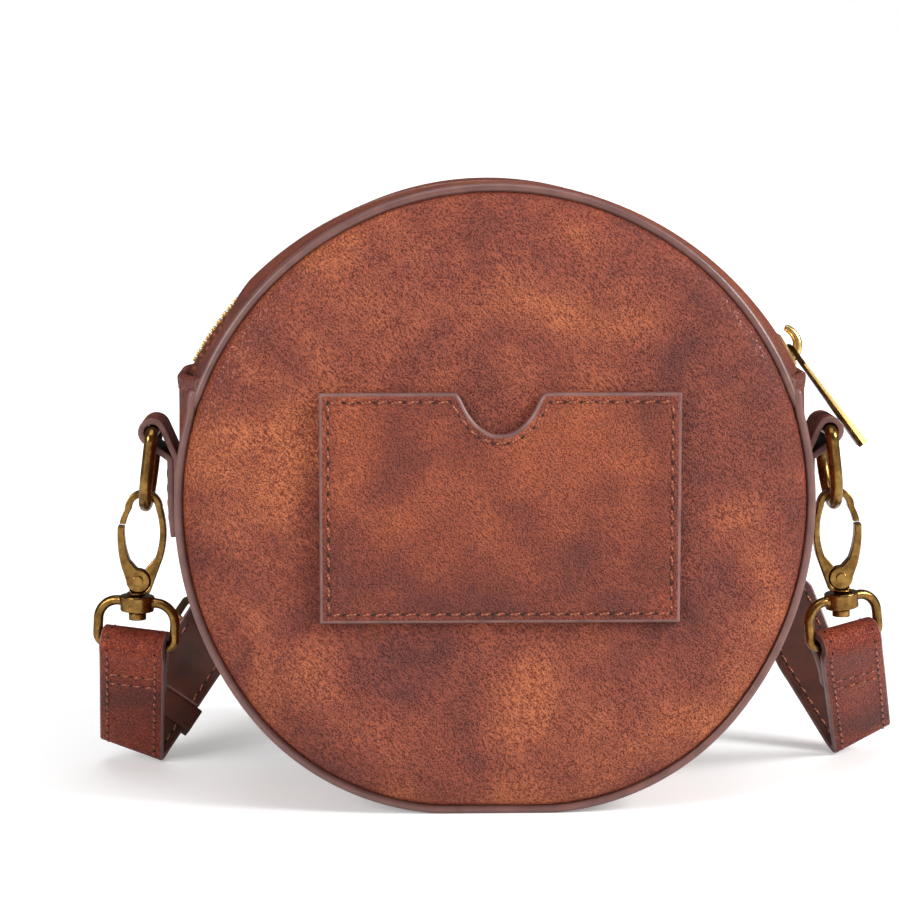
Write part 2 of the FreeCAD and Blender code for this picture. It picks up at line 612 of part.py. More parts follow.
def build_hooks():
    bow = clip_outline(line((-3.8, -4.0), (-7.8, 6.5)), ((-7.8, 6.5), (-9.0, 14.5), (-8.0, 21.7)),
                       ((-8.0, 21.7), (-2.4, 27.3), (3.2, 21.7)), ((3.2, 21.7), (4.2, 19.6), (4.9, 17.3)),
                       line((4.9, 17.3), (3.1, 17.0)), ((3.1, 17.0), (2.4, 19.4), (1.2, 21.7)),
                       ((1.2, 21.7), (-2.4, 25.3), (-6.0, 21.7)), ((-6.0, 21.7), (-7.1, 14.5), (-5.6, 6.8)),
                       line((-5.6, 6.8), (-1.8, 2.5)), line((-1.8, 2.5), (1.6, 2.0)),
                       line((1.6, 2.0), (2.4, -0.5)), line((2.4, -0.5), (2.2, -4.0)),
                       line((2.2, -4.0), (-3.8, -4.0)))
    hook = slab(bow, -HOOK_DEPTH / 2, HOOK_DEPTH / 2)
    pocket_radius = GATE_HUB + GATE_PLAY
    pivot = V(CLIP_OUT + RIVET_OFFSET, 0, RIVET_RISE)
    for low, high in ((NECK_DEPTH / 2, HOOK_DEPTH), (-HOOK_DEPTH, -NECK_DEPTH / 2)):
        hook = hook.cut(Part.makeCylinder(pocket_radius, high - low, pivot + V(0, low, 0), V(0, 1, 0)))
    hook = hook.cut(clip_cylinder(RIVET_DIAMETER / 2 + RIVET_FIT / 2, 2 * HOOK_DEPTH))
    shoulder_top = COLLAR_TOP + COLLAR_FIT + SHOULDER_HEIGHT
    button_top = COLLAR_BOTTOM - COLLAR_FIT
    post = Part.makeCylinder(POST_DIAMETER / 2, shoulder_top - button_top, V(CLIP_OUT, 0, button_top))
    button = Part.makeCylinder(BUTTON_DIAMETER / 2, BUTTON_HEIGHT, V(CLIP_OUT, 0, button_top - BUTTON_HEIGHT))
    shoulder = Part.makeCylinder(SHOULDER_DIAMETER / 2, SHOULDER_HEIGHT,
                                 V(CLIP_OUT, 0, shoulder_top - SHOULDER_HEIGHT))
    both_sides("hook_body", hook.fuse([post, button, shoulder]).removeSplitter())


def build_gates():
    lever = clip_outline(((3.1, 0.0), (3.7, 2.0), (4.4, 4.0)), ((4.4, 4.0), (5.4, 10.0), (5.4, 16.7)),
                         line((5.4, 16.7), (3.4, 16.4)), ((3.4, 16.4), (3.1, 10.5), (1.9, 6.0)),
                         line((1.9, 6.0), (-0.4, 3.3)), line((-0.4, 3.3), (-0.4, 0.0)),
                         line((-0.4, 0.0), (3.1, 0.0)))
    side = slab(lever, -HOOK_DEPTH / 2, HOOK_DEPTH / 2).fuse(clip_cylinder(GATE_HUB, HOOK_DEPTH))
    side = side.removeSplitter()
    slot_radius = GATE_HUB - GATE_PLAY / 2
    core = slab(lever, -HOOK_DEPTH / 2, HOOK_DEPTH / 2).cut(clip_cylinder(slot_radius, 2 * HOOK_DEPTH))
    cheek_gap = NECK_DEPTH + 2 * CHEEK_PLAY
    between = Part.makeBox(BAG_DIAMETER, cheek_gap, BAG_DIAMETER, V(CLIP_OUT - RIM, -cheek_gap / 2, 0))
    gate = side.cut(between).fuse(core).removeSplitter()
    both_sides("hook_gate", gate.cut(clip_cylinder(RIVET_DIAMETER / 2 + RIVET_FIT, 2 * HOOK_DEPTH)))

    head = clip_cylinder(RIVET_HEAD_DIAMETER / 2, HOOK_DEPTH + 2 * (CHEEK_PLAY + RIVET_HEAD))
    head = head.cut(clip_cylinder(RIVET_HEAD_DIAMETER, HOOK_DEPTH + 2 * CHEEK_PLAY))
    shank = clip_cylinder(RIVET_DIAMETER / 2, HOOK_DEPTH + 2 * (CHEEK_PLAY + RIVET_HEAD))
    both_sides("gate_rivet", shank.fuse(head).removeSplitter())

    leaf_outer = slot_radius - GATE_PLAY / 3
    x = CLIP_OUT + RIVET_OFFSET
    leaf = [arc(x, RIVET_RISE, leaf_outer, 50, 115)]
    leaf.append(line(leaf[0][2], polar(x, RIVET_RISE, leaf_outer - GATE_SPRING_LEAF, 115)))
    leaf.append(arc(x, RIVET_RISE, leaf_outer - GATE_SPRING_LEAF, 115, 50))
    leaf.append(line(leaf[2][2], leaf[0][0]))
    both_sides("gate_spring", slab(leaf, -NECK_DEPTH / 2 + GATE_PLAY, NECK_DEPTH / 2 - GATE_PLAY))


def eye_turn(side, extra_roll):
    yaw = RIGHT_YAW if side > 0 else LEFT_YAW
    roll = RIGHT_ROLL if side > 0 else LEFT_ROLL
    return FreeCAD.Rotation(UP, yaw) * FreeCAD.Rotation(V(0, 1, 0), -roll - extra_roll)


def eye_middle(side):
    return V(side * CLIP_OUT, 0, COLLAR_MIDDLE)


def build_eyes():
    collar = Part.makeCylinder(COLLAR_DIAMETER / 2, COLLAR_HEIGHT, V(0, 0, COLLAR_BOTTOM))
    arm_z = RIVET_RISE - EYE_ARM_DROP
    bend = EYE_SHOULDER
    corner = EYE_CORNER
    start_u = POST_DIAMETER
    right = [line((start_u, arm_z), (EYE_HALF - bend, arm_z)),
             arc(EYE_HALF - bend, arm_z - bend, bend, 90, 0),
             line((EYE_HALF, arm_z - bend), (EYE_HALF, EYE_BAR_Z + corner)),
             arc(EYE_HALF - corner, EYE_BAR_Z + corner, corner, 0, -90)]
    path = right + [line(right[-1][2], (corner - EYE_HALF, EYE_BAR_Z))] + mirrored(right)
    circle = Part.Wire([Part.makeCircle(EYE_WIRE / 2, V(start_u, 0, arm_z), V(1, 0, 0))])
    loop = round_wire(wire(path, 0), circle, V(0, 1, 0))
    bore_foot = V(0, 0, COLLAR_BOTTOM - COLLAR_HEIGHT)
    bore = Part.makeCylinder(POST_DIAMETER / 2 + POST_FIT, 3 * COLLAR_HEIGHT, bore_foot)
    eye = collar.fuse(loop).removeSplitter().cut(bore)
    eye.translate(V(0, 0, -COLLAR_MIDDLE))
    for name, side in (("swivel_eye_right", 1), ("swivel_eye_left", -1)):
        hung = eye.copy()
        hung.Placement = FreeCAD.Placement(eye_middle(side), eye_turn(side, 0)) * hung.Placement
        save(name, hung)


# Strap: a station is (middle of the strap, direction of the straight line across it)

def unit(vector):
    return vector * (1.0 / vector.Length)


def square_to(vector, direction):
    return unit(vector - direction * vector.dot(direction))


def smooth(stations, steps):
    """More stations on a smooth curve through the given ones."""
    result = []
    last = len(stations) - 1
    for k in range(last):
        before = stations[max(k - 1, 0)]
        after = stations[min(k + 2, last)]
        for step in range(steps):
            t = step / steps
            spot = []
            for part in (0, 1):
                a, b, c, d = before[part], stations[k][part], stations[k + 1][part], after[part]
                spot.append(b + (c - a) * (0.5 * t) + (a * 2 - b * 5 + c * 4 - d) * (0.5 * t * t)
                            + (b * 3 - a - c * 3 + d) * (0.5 * t ** 3))
            result.append(tuple(spot))
    result.append(stations[last])
    return result


def strap_corners(stations):
    result = []
    last = len(stations) - 1
    for k, (middle, across) in enumerate(stations):
        ahead = unit(stations[min(k + 1, last)][0] - stations[max(k - 1, 0)][0])
        across = unit(across)
        askew = across.dot(ahead)
        side = across * (STRAP_WIDTH / 2 / math.sqrt(1 - askew ** 2))
        rise = unit(ahead.cross(across)) * (STRAP_THICKNESS / 2)
        low = middle - rise
        high = middle + rise
        result.append([low - side, low + side, high + side, high - side])
    return result


def strap_solid(stations):
    return loft([Part.makePolygon(corners + corners[:1]) for corners in strap_corners(stations)])


def length_of(stations):
    return sum((b[0] - a[0]).Length for a, b in zip(stations, stations[1:]))


def fold_round(bar, bar_radius, run, across):
    """Stations from the tail's end, round a bar, to the start of the run."""
    middle = bar_radius + FOLD_PLAY + STRAP_THICKNESS / 2
    tail = middle - STRAP_THICKNESS - LAYER_GAP
    face = unit(run.cross(across))
    back = square_to(run, across)
    stations = [(bar + run * FOLD_TAIL + face * tail, across),
                (bar + run * (FOLD_TAIL * TAIL_FLAT_FROM) + face * tail, across),
                (bar + run * (FOLD_TAIL * TAIL_DIP_AT) + face * (tail - 0.25 * middle), across)]
    for turn in range(0, 181, 30):
        angle = math.radians(turn)
        stations.append((bar - face * (middle * math.cos(angle)) - back * (middle * math.sin(angle)), across))
    return stations


def crease(start, ahead, axis, turn):
    """Stations where the strap turns round an axis that lies in its own plane, and its turn."""
    along = ahead.dot(axis)
    slope = along / math.sqrt(1 - along ** 2)
    centre = start + axis.cross(square_to(ahead, axis)) * CREASE_RADIUS
    stations = []
    for step in range(1, CREASE_STEPS + 1):
        angle = turn * step / CREASE_STEPS
        turned = FreeCAD.Rotation(axis, angle).multVec(start - centre)
        drift = axis * (slope * CREASE_RADIUS * math.radians(angle))
        stations.append((centre + turned + drift, axis))
    return stations, FreeCAD.Rotation(axis, turn)


def hanging_end(side, aim, skew, turn, strap_roll):
    """One strap end: folded round its eye, down to the floor, and turned up behind."""
    turned = eye_turn(side, 0)
    bar = eye_middle(side) + turned.multVec(V(0, 0, EYE_BAR_Z - COLLAR_MIDDLE))
    across = eye_turn(side, strap_roll).multVec(V(1, 0, 0))
    run = unit(aim)
    square = square_to(across, run)
    axis = square * math.cos(math.radians(skew)) + run * math.sin(math.radians(skew))
    fold = fold_round(bar, EYE_WIRE / 2, run, across)
    start = fold[-1][0]
    trial, turning = crease(start, run, axis, turn)
    lowest = min(corner.z for corners in strap_corners(trial) for corner in corners)
    drop = (FLOOR_GAP - lowest) / run.z
    bend, turning = crease(start + run * drop, run, axis, turn)
    stations = fold + [(start + run * (drop * 0.35), across), (start + run * (drop * 0.7), across + axis),
                       (start + run * drop, axis)] + bend
    return stations, turning.multVec(run), turning.multVec(square)


LEFT_END, RISE, RISE_ACROSS = hanging_end(-1, LEFT_AIM, LEFT_SKEW, LEFT_TURN, LEFT_STRAP_ROLL)
RIGHT_END, CLIMB, CLIMB_ACROSS = hanging_end(1, RIGHT_AIM, RIGHT_SKEW, RIGHT_TURN, RIGHT_STRAP_ROLL)

# The short strap rises behind the bag to the buckle
RISE_BACK = RISE.cross(RISE_ACROSS)
BUCKLE_FOLD = BUCKLE_WIRE / 2 + FOLD_PLAY + STRAP_THICKNESS / 2
BUCKLE_BAR = LEFT_END[-1][0] + RISE * RISE_LENGTH - RISE_BACK * BUCKLE_FOLD
FRAME_AHEAD = (RISE * math.cos(math.radians(BUCKLE_TURN)) + RISE_BACK * math.sin(math.radians(BUCKLE_TURN)))
FRAME_OUT = FRAME_AHEAD.cross(RISE_ACROSS)
TIP_OFFSET = BUCKLE_FOLD + STRAP_THICKNESS + LAYER_GAP
FAR_BAR_SIDE = BUCKLE_WIRE / 2 + STRAP_THICKNESS / 2 + FOLD_PLAY
PRONG_TIP_DROP = BUCKLE_WIRE / 2 + PRONG_DIAMETER / 2 + PRONG_PLAY
SLEEVE_INNER = BUCKLE_WIRE / 2 + PRONG_FIT
SLEEVE_OUTER = SLEEVE_INNER + PRONG_DIAMETER / 2


def at_buckle(along, back):
    return BUCKLE_BAR + RISE * along + RISE_BACK * back


def to_buckle(shape):
    matrix = FreeCAD.Matrix(FRAME_AHEAD.x, RISE_ACROSS.x, FRAME_OUT.x, BUCKLE_BAR.x,
                            FRAME_AHEAD.y, RISE_ACROSS.y, FRAME_OUT.y, BUCKLE_BAR.y,
                            FRAME_AHEAD.z, RISE_ACROSS.z, FRAME_OUT.z, BUCKLE_BAR.z, 0, 0, 0, 1)
    moved = shape.copy()
    moved.Placement = FreeCAD.Placement(matrix) * moved.Placement
    return moved


def buckle_block(low, high):
    """A box in the buckle's own frame: along the frame, across it, and out of it."""
    return to_buckle(Part.makeBox(high[0] - low[0], high[1] - low[1], high[2] - low[2], V(*low)))


def short_strap_stations():
    end = fold_round(BUCKLE_BAR, BUCKLE_WIRE / 2, RISE * -1, RISE_ACROSS * -1)
    end = [(middle, RISE_ACROSS) for middle, across in reversed(end)]
    corner = LEFT_END[-1][0]
    rise = [(corner + RISE * (RISE_LENGTH * 0.25), RISE_ACROSS + LEFT_END[-1][1]),
            (corner + RISE * (RISE_LENGTH * 0.55), RISE_ACROSS)]
    return LEFT_END + rise + end


def hank_stations():
    """Flat pleats standing on edge behind the bag, from the farthest run to the nearest."""
    down = V(0, 0, -1)
    height = STRAP_WIDTH / 2 + FLOOR_GAP
    radius = HANK_PITCH / 2
    stations = []
    for run in range(HANK_RUNS):
        y = HANK_NEAR_Y + HANK_PITCH * (HANK_RUNS - 1 - run)
        heading = 1 if run % 2 == 0 else -1
        stations.append((V(-heading * HANK_HALF_LENGTH, y, height), down))
        if run == HANK_RUNS - 1:
            break
        stations.append((V(heading * HANK_HALF_LENGTH, y, height), down))
        for turn in (54, 18, -18, -54):
            angle = math.radians(turn)
            stations.append((V(heading * (HANK_HALF_LENGTH + radius * math.cos(angle)),
                                   y - radius + radius * math.sin(angle), height), down))
    return stations


def long_strap_stations():
    far_bar = BUCKLE_BAR + FRAME_AHEAD * BUCKLE_LENGTH - FRAME_OUT * FAR_BAR_SIDE
    tip = [(at_buckle(-TIP_LENGTH, TIP_OFFSET), RISE_ACROSS),
           (at_buckle(-TIP_LENGTH / 2, TIP_OFFSET), RISE_ACROSS),
           (at_buckle(-2, TIP_OFFSET), RISE_ACROSS), (at_buckle(6, TIP_OFFSET + 0.8), RISE_ACROSS),
           (far_bar, RISE_ACROSS), (V(-80.5, 75.5, 41.5), V(0.78, -0.12, -0.60)),
           (V(-77, 85, 35.5), V(0.62, -0.28, -0.73)), (V(-72.5, 93, 26), V(0.38, -0.22, -0.90)),
           (V(-64.5, 98.2, 16), V(0.14, 0, -0.99))]
    hank = hank_stations()
    corner = RIGHT_END[-1][0]
    climb = [(V(-20, 66.5, 12.5), V(0, 0, -1)), (V(12, 67, 21), V(0, 0, -1)),
             (V(40, 66.5, 34), V(0, 0, -1)), (V(64, 64.5, 43), V(-0.15, 0, -1)),
             (corner + CLIMB * 46, CLIMB_ACROSS * -1), (corner + CLIMB * 28, CLIMB_ACROSS * -1),
             (corner + CLIMB * 10, (CLIMB_ACROSS + RIGHT_END[-1][1]) * -1)]
    end = [(middle, across * -1) for middle, across in reversed(RIGHT_END)]
    return smooth(tip + hank[:1], 3) + hank[1:-1] + smooth(hank[-1:] + climb, 3) + end


def build_straps():
    short = short_strap_stations()
    long = long_strap_stations()
    print("short strap length", round(length_of(short)), "long strap length", round(length_of(long)))
    slot = PRONG_SLOT / 2
    reach = BUCKLE_FOLD + STRAP_THICKNESS
    prong_slot = buckle_block((-SLEEVE_OUTER - PRONG_PLAY, -slot, -reach), (reach, slot, reach))
    save("strap_short", strap_solid(short).cut(prong_slot))
    hole = STRAP_HOLE / 2
    crossing = buckle_block((SLEEVE_OUTER, -hole, -hole), (BUCKLE_LENGTH - BUCKLE_WIRE, hole, STRAP_HOLE))
    strap = strap_solid(long).cut(crossing)
    for step in (1, 2):
        foot = at_buckle(-HOLE_PITCH * step + hole, TIP_OFFSET - STRAP_THICKNESS)
        strap = strap.cut(Part.makeCylinder(hole / 2, 2 * STRAP_THICKNESS, foot, RISE_BACK))
    save("strap_long", strap)


def build_buckle():
    half = BUCKLE_HALF
    corner = BUCKLE_CORNER
    length = BUCKLE_LENGTH
    cut = corner * (1 - math.sqrt(0.5))
    spots = [V(0, 0, 0), V(0, half - corner, 0), V(corner, half, 0), V(length - corner, half, 0),
             V(length, half - corner, 0), V(length, corner - half, 0), V(length - corner, -half, 0),
             V(corner, -half, 0), V(0, corner - half, 0)]
    through = {1: V(cut, half - cut, 0), 3: V(length - cut, half - cut, 0),
               5: V(length - cut, cut - half, 0), 7: V(cut, cut - half, 0)}
    edges = []
    for k in range(len(spots)):
        end = spots[(k + 1) % len(spots)]
        if k in through:
            edges.append(Part.Arc(spots[k], through[k], end).toShape())
        else:
            edges.append(Part.LineSegment(spots[k], end).toShape())
    circle = Part.Wire([Part.makeCircle(BUCKLE_WIRE / 2, V(0, 0, 0), V(0, 1, 0))])
    save("buckle_frame", to_buckle(round_wire(Part.Wire(edges), circle, V(0, 0, 1))))

    band_half = PRONG_SLOT / 2 - PRONG_PLAY
    sleeve = Part.makeCylinder(SLEEVE_OUTER, 2 * band_half, V(0, -band_half, 0), V(0, 1, 0))
    start = V((SLEEVE_INNER + SLEEVE_OUTER) / 2, 0, 0)
    end = V(length + BUCKLE_WIRE / 2, 0, PRONG_TIP_DROP)
    shaft = Part.makeCylinder(PRONG_DIAMETER / 2, (end - start).Length, start, end - start)
    prong = sleeve.fuse(shaft).removeSplitter()
    prong = prong.cut(Part.makeCylinder(SLEEVE_INNER, 4 * band_half, V(0, -2 * band_half, 0), V(0, 1, 0)))
    save("buckle_prong", to_buckle(prong))


def build_keeper():
    """A leather loop round the short strap and the tip of the long one."""
    low = BUCKLE_FOLD - STRAP_THICKNESS / 2 - LAYER_GAP
    high = TIP_OFFSET + STRAP_THICKNESS / 2 + LAYER_GAP
    half = STRAP_WIDTH / 2 + LAYER_GAP
    wall = KEEPER_LEATHER
    outer_low = V(0, -half - wall, low - wall)
    outer = Part.makeBox(KEEPER_WIDTH, 2 * (half + wall), high - low + 2 * wall, outer_low)
    inner = Part.makeBox(3 * KEEPER_WIDTH, 2 * half, high - low, V(-KEEPER_WIDTH, -half, low))
    keeper = outer.cut(inner)
    keeper.translate(V(-KEEPER_BACK - KEEPER_WIDTH, 0, 0))
    matrix = FreeCAD.Matrix(RISE.x, RISE_ACROSS.x, RISE_BACK.x, BUCKLE_BAR.x,
                            RISE.y, RISE_ACROSS.y, RISE_BACK.y, BUCKLE_BAR.y,
                            RISE.z, RISE_ACROSS.z, RISE_BACK.z, BUCKLE_BAR.z, 0, 0, 0, 1)
    keeper.Placement = FreeCAD.Placement(matrix) * keeper.Placement
    save("strap_keeper", keeper)


build_faces()
build_piping()
build_gusset()
build_zip_bands()
build_teeth()
build_slider()
build_pull()
build_pocket()
build_tabs()
build_rings()
build_hooks()
build_gates()
build_eyes()
build_straps()
build_buckle()
build_keeper()
print("zip axis height", round(ZIP_AXIS_Z, 3), "zip radius", round(ZIP_RADIUS, 3),
      "pull pivot radius", round(PULL_PIVOT, 3), "pull turn", round(pull_rest_turn(), 2))
print("ring loop", round(LOOP_X, 3), round(LOOP_Z, 3), "eye bar", EYE_BAR_Z, "centre", CENTRE_Z)
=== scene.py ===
# %% [markdown]
# A round cross-body bag in mottled brown leather stands on a white floor with its strap tucked behind it.
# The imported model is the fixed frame: its brass pieces keep their shape, and every soft piece is made
# again here as leather, cord, cloth and thread. The functions that make shapes take millimetres.

# %% Load the frame
import json
import math
from contextlib import contextmanager

import bpy
import numpy as np
from mathutils import Matrix, Vector, noise


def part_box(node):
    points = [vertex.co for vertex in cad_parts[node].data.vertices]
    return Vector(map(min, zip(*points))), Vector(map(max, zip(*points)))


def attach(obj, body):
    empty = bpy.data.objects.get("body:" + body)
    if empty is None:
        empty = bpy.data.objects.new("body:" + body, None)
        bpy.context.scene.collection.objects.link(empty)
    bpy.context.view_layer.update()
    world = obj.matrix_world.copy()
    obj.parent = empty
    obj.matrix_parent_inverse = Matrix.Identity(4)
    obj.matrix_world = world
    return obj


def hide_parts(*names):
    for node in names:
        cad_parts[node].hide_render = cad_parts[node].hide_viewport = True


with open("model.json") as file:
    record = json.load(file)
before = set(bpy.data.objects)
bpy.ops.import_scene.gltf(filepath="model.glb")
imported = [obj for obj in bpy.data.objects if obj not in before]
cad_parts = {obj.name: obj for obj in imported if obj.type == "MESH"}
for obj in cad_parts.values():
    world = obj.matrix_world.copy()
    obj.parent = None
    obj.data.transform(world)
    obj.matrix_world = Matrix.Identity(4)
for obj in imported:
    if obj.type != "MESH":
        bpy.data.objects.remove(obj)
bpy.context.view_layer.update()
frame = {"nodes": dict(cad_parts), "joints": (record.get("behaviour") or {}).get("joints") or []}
MM = 0.001
JOINT = {joint["name"]: joint for joint in frame["joints"]}

# %% [markdown]
# Operators act on whatever is selected, so each step first picks the one piece it works on.
# Points go in and out of a mesh as rows of millimetres.

# %% Picking, editing and modifiers
def pick(piece):
    bpy.ops.object.select_all(action="DESELECT")
    piece.select_set(True)
    bpy.context.view_layer.objects.active = piece


def named(name):
    """The piece that was added last, under its own name."""
    bpy.context.object.name = name
    return bpy.context.object


@contextmanager
def editing(piece):
    """Edit mode on one piece, with all of it selected."""
    pick(piece)
    bpy.ops.object.mode_set(mode="EDIT")
    bpy.ops.mesh.select_all(action="SELECT")
    yield
    bpy.ops.object.mode_set(mode="OBJECT")


def apply_modifier(piece, kind, **settings):
    pick(piece)
    modifier = piece.modifiers.new(kind.title(), kind)
    for name, value in settings.items():
        setattr(modifier, name, value)
    bpy.ops.object.modifier_apply(modifier=modifier.name)


def bevel(piece, width, segments, degrees, **settings):
    apply_modifier(piece, "BEVEL", width=width * MM, segments=segments, limit_method="ANGLE",
                   angle_limit=math.radians(degrees), **settings)


def smooth_shaded(piece, degrees):
    pick(piece)
    bpy.ops.object.shade_smooth_by_angle(angle=math.radians(degrees))


def lay_points(piece, points):
    piece.data.vertices.foreach_set("co", (np.asarray(points, float) * MM).ravel())
    piece.data.update()


def points_of(piece):
    points = np.zeros(3 * len(piece.data.vertices))
    piece.data.vertices.foreach_get("co", points)
    return points.reshape(-1, 3) / MM


def lengths(rows):
    return np.linalg.norm(rows, axis=-1)


def run_along(line):
    """How far along a line each of its points lies."""
    return np.concatenate([[0.0], np.cumsum(lengths(np.diff(line, axis=0)))])


# %% [markdown]
# A sheet of leather starts as a grid whose rows are laid where the leather runs, turned the right way out
# and dressed. Then it gets its thickness, and is handed to the body it rides on.

# %% Sheets
def sheet(name, rows, towards, materials):
    rows = np.asarray(rows, float)
    along, across = rows.shape[:2]
    bpy.ops.mesh.primitive_grid_add(x_subdivisions=across - 1, y_subdivisions=along - 1)
    piece = named(name)
    lay_points(piece, rows.reshape(-1, 3))
    face_towards(piece, towards)
    dress(piece, *materials)
    return piece


def face_towards(piece, wanted):
    """Turns the sheet over if its furthest face in the wanted direction looks away from it."""
    wanted = Vector(wanted)
    furthest = max(piece.data.polygons, key=lambda face: face.center.dot(wanted))
    if furthest.normal.dot(wanted) < 0:
        with editing(piece):
            bpy.ops.mesh.flip_normals()


def dress(piece, *materials):
    piece.data.materials.clear()
    for material in materials:
        piece.data.materials.append(material)


def give_depth(piece, thickness, offset=-1.0, even=False):
    """Gives a sheet its depth: outer face, inner face and edge take materials 0, 1 and 2."""
    apply_modifier(piece, "SOLIDIFY", thickness=thickness * MM, offset=offset, use_even_offset=even,
                   material_offset=1, material_offset_rim=2)


def thicken(piece, thickness, edge_round, offset=-1.0):
    """Depth with rounded edges: inwards from the sheet, or both ways for an offset of 0."""
    give_depth(piece, thickness, offset, even=True)
    bevel(piece, edge_round, 3, 55, use_clamp_overlap=False, material=2)
    smooth_shaded(piece, 60)


def settle(piece, body, slot, *nodes):
    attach(piece, body)
    if nodes:
        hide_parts(*nodes)
    print(piece.name, "faces", len(piece.data.polygons), "for", ", ".join(nodes) or "detail")


# %% [markdown]
# Every finish starts from a few sRGB colours. One function turns them to linear light, and one adds a
# node with its settings and links, so each material reads as a short list of what the eye sees.

# %% Colours and nodes
def colour(code):
    parts = [int(code[k:k + 2], 16) / 255 for k in (1, 3, 5)]
    return [p / 12.92 if p <= 0.04045 else ((p + 0.055) / 1.055) ** 2.4 for p in parts] + [1.0]


def grey(value):
    return [value, value, value, 1.0]


def per_metre(millimetres):
    return 1000.0 / millimetres


def feed(tree, node, inputs):
    """Sets a node's inputs, which are values or other nodes' sockets."""
    for key, value in inputs.items():
        if isinstance(value, bpy.types.NodeSocket):
            tree.links.new(value, node.inputs[key])
        else:
            node.inputs[key].default_value = value


def add(tree, kind, output, inputs, stops=(), **settings):
    """Adds a node and gives one of its outputs; stops are a colour ramp's places and colours."""
    node = tree.nodes.new("ShaderNode" + kind)
    for name, value in settings.items():
        setattr(node, name, value)
    feed(tree, node, inputs)
    for k, (place, tone) in enumerate(stops):
        element = node.color_ramp.elements[k] if k < 2 else node.color_ramp.elements.new(place)
        element.position = place
        element.color = tone
    return node.outputs[output]


def new_material(name):
    """A material, its node tree, its shader and the place of a point on the piece."""
    material = bpy.data.materials.new(name)
    material.use_nodes = True
    tree = material.node_tree
    place = add(tree, "TexCoord", "Object", {})
    print("material", name)
    return material, tree, tree.nodes["Principled BSDF"], place


# %% [markdown]
# The bag is a pull-up leather: wax lifts where the hide was stretched, so tan clouds some 40 mm wide show
# through a red-brown dye. Over that lies a natural grain about half a millimetre across, drawn out here and
# there into short slanting creases. Its pores are painted darker as their shade, and its pebbles paler and
# greyer as the highlights of their finish.

# %% Leather
PATCH_SIZE = 42.0
SMALL_PATCH_SIZE = 13.0
SMALL_PATCH_SHARE = 0.3
CREASE_SIZE = 0.55
CREASE_LENGTH = 2.8
CREASE_SLANT = math.radians(-42)
FEWEST_CREASES = 0.28
MOST_CREASES = 0.50
GRAIN_SIZE = 0.46
GRAIN_DEPTH = 0.22
# Colour factors for the grain: painted shade in its pores, painted highlight on its pebbles.
PORE_SHADE = [0.44, 0.24, 0.17, 1.0]
PEBBLE_HIGHLIGHT = [1.52, 2.00, 2.35, 1.0]


def leather(name, dark, middle, tan, shift=(0, 0, 0), gloss=0.42):
    material, tree, shader, place = new_material(name)
    place = add(tree, "Mapping", "Vector", {"Vector": place, "Location": shift})
    patch = add(tree, "TexNoise", "Fac", {
        "Vector": place, "Scale": per_metre(PATCH_SIZE), "Detail": 2.0, "Roughness": 0.45,
        "Distortion": 0.7})
    small = add(tree, "TexNoise", "Fac", {
        "Vector": place, "Scale": per_metre(SMALL_PATCH_SIZE), "Detail": 4.0, "Roughness": 0.6})
    cloud = add(tree, "Mix", "Result", {"Factor": SMALL_PATCH_SHARE, "A": patch, "B": small})
    tone = add(tree, "ValToRGB", "Color", {"Fac": cloud}, stops=(
        (0.36, colour(dark)), (0.65, colour(tan)), (0.50, colour(middle))))
    slanted = add(tree, "Mapping", "Vector", {
        "Vector": place, "Rotation": (0, CREASE_SLANT, 0), "Scale": (1.0, 1.0, CREASE_LENGTH)},
        vector_type="TEXTURE")
    crease = add(tree, "TexNoise", "Fac", {
        "Vector": slanted, "Scale": per_metre(CREASE_SIZE), "Detail": 2.0, "Roughness": 0.5})
    pebble = add(tree, "TexNoise", "Fac", {
        "Vector": place, "Scale": per_metre(GRAIN_SIZE), "Detail": 2.0, "Roughness": 0.55})
    creased = add(tree, "MapRange", "Result", {
        "Value": small, "From Min": 0.48, "From Max": 0.68, "To Min": FEWEST_CREASES,
        "To Max": MOST_CREASES})
    fine = add(tree, "Mix", "Result", {"Factor": creased, "A": pebble, "B": crease})
    fine = add(tree, "MapRange", "Result", {"Value": fine, "From Min": 0.41, "From Max": 0.59})
    # The grain's colour: painted shade in pores and crease hollows, painted highlight on pebbles and crease
    # ridges.
    grain = add(tree, "ValToRGB", "Color", {"Fac": fine}, stops=((0.0, PORE_SHADE), (1.0, PEBBLE_HIGHLIGHT)))
    tone = add(tree, "Mix", "Result", {"Factor": 1.0, "A": tone, "B": grain}, data_type="RGBA",
               blend_type="MULTIPLY")
    bump = add(tree, "Bump", "Normal", {"Height": fine, "Strength": 1.0, "Distance": GRAIN_DEPTH * MM})
    rough = add(tree, "MapRange", "Result", {"Value": fine, "To Min": gloss + 0.12, "To Max": gloss - 0.04})
    feed(tree, shader, {"Base Color": tone, "Roughness": rough, "Normal": bump, "IOR": 1.46,
                        "Specular IOR Level": 0.38})
    return material


FACE_LEATHER = leather("pull_up_leather", "#5d2419", "#7c3420", "#9a4b29", gloss=0.38)
POCKET_LEATHER = leather("pocket_leather", "#592116", "#78301b", "#944322", shift=(0.31, 0.12, 0.55))
BAND_LEATHER = leather("band_leather", "#5c2419", "#7a3421", "#944826", shift=(0.7, 0.2, 0.1))
STRAP_LEATHER = leather("strap_leather", "#5e1f11", "#7c2b15", "#943b1b", shift=(0.15, 0.9, 0.3))
print("leather grain", GRAIN_SIZE, "mm, patches", PATCH_SIZE, "mm")
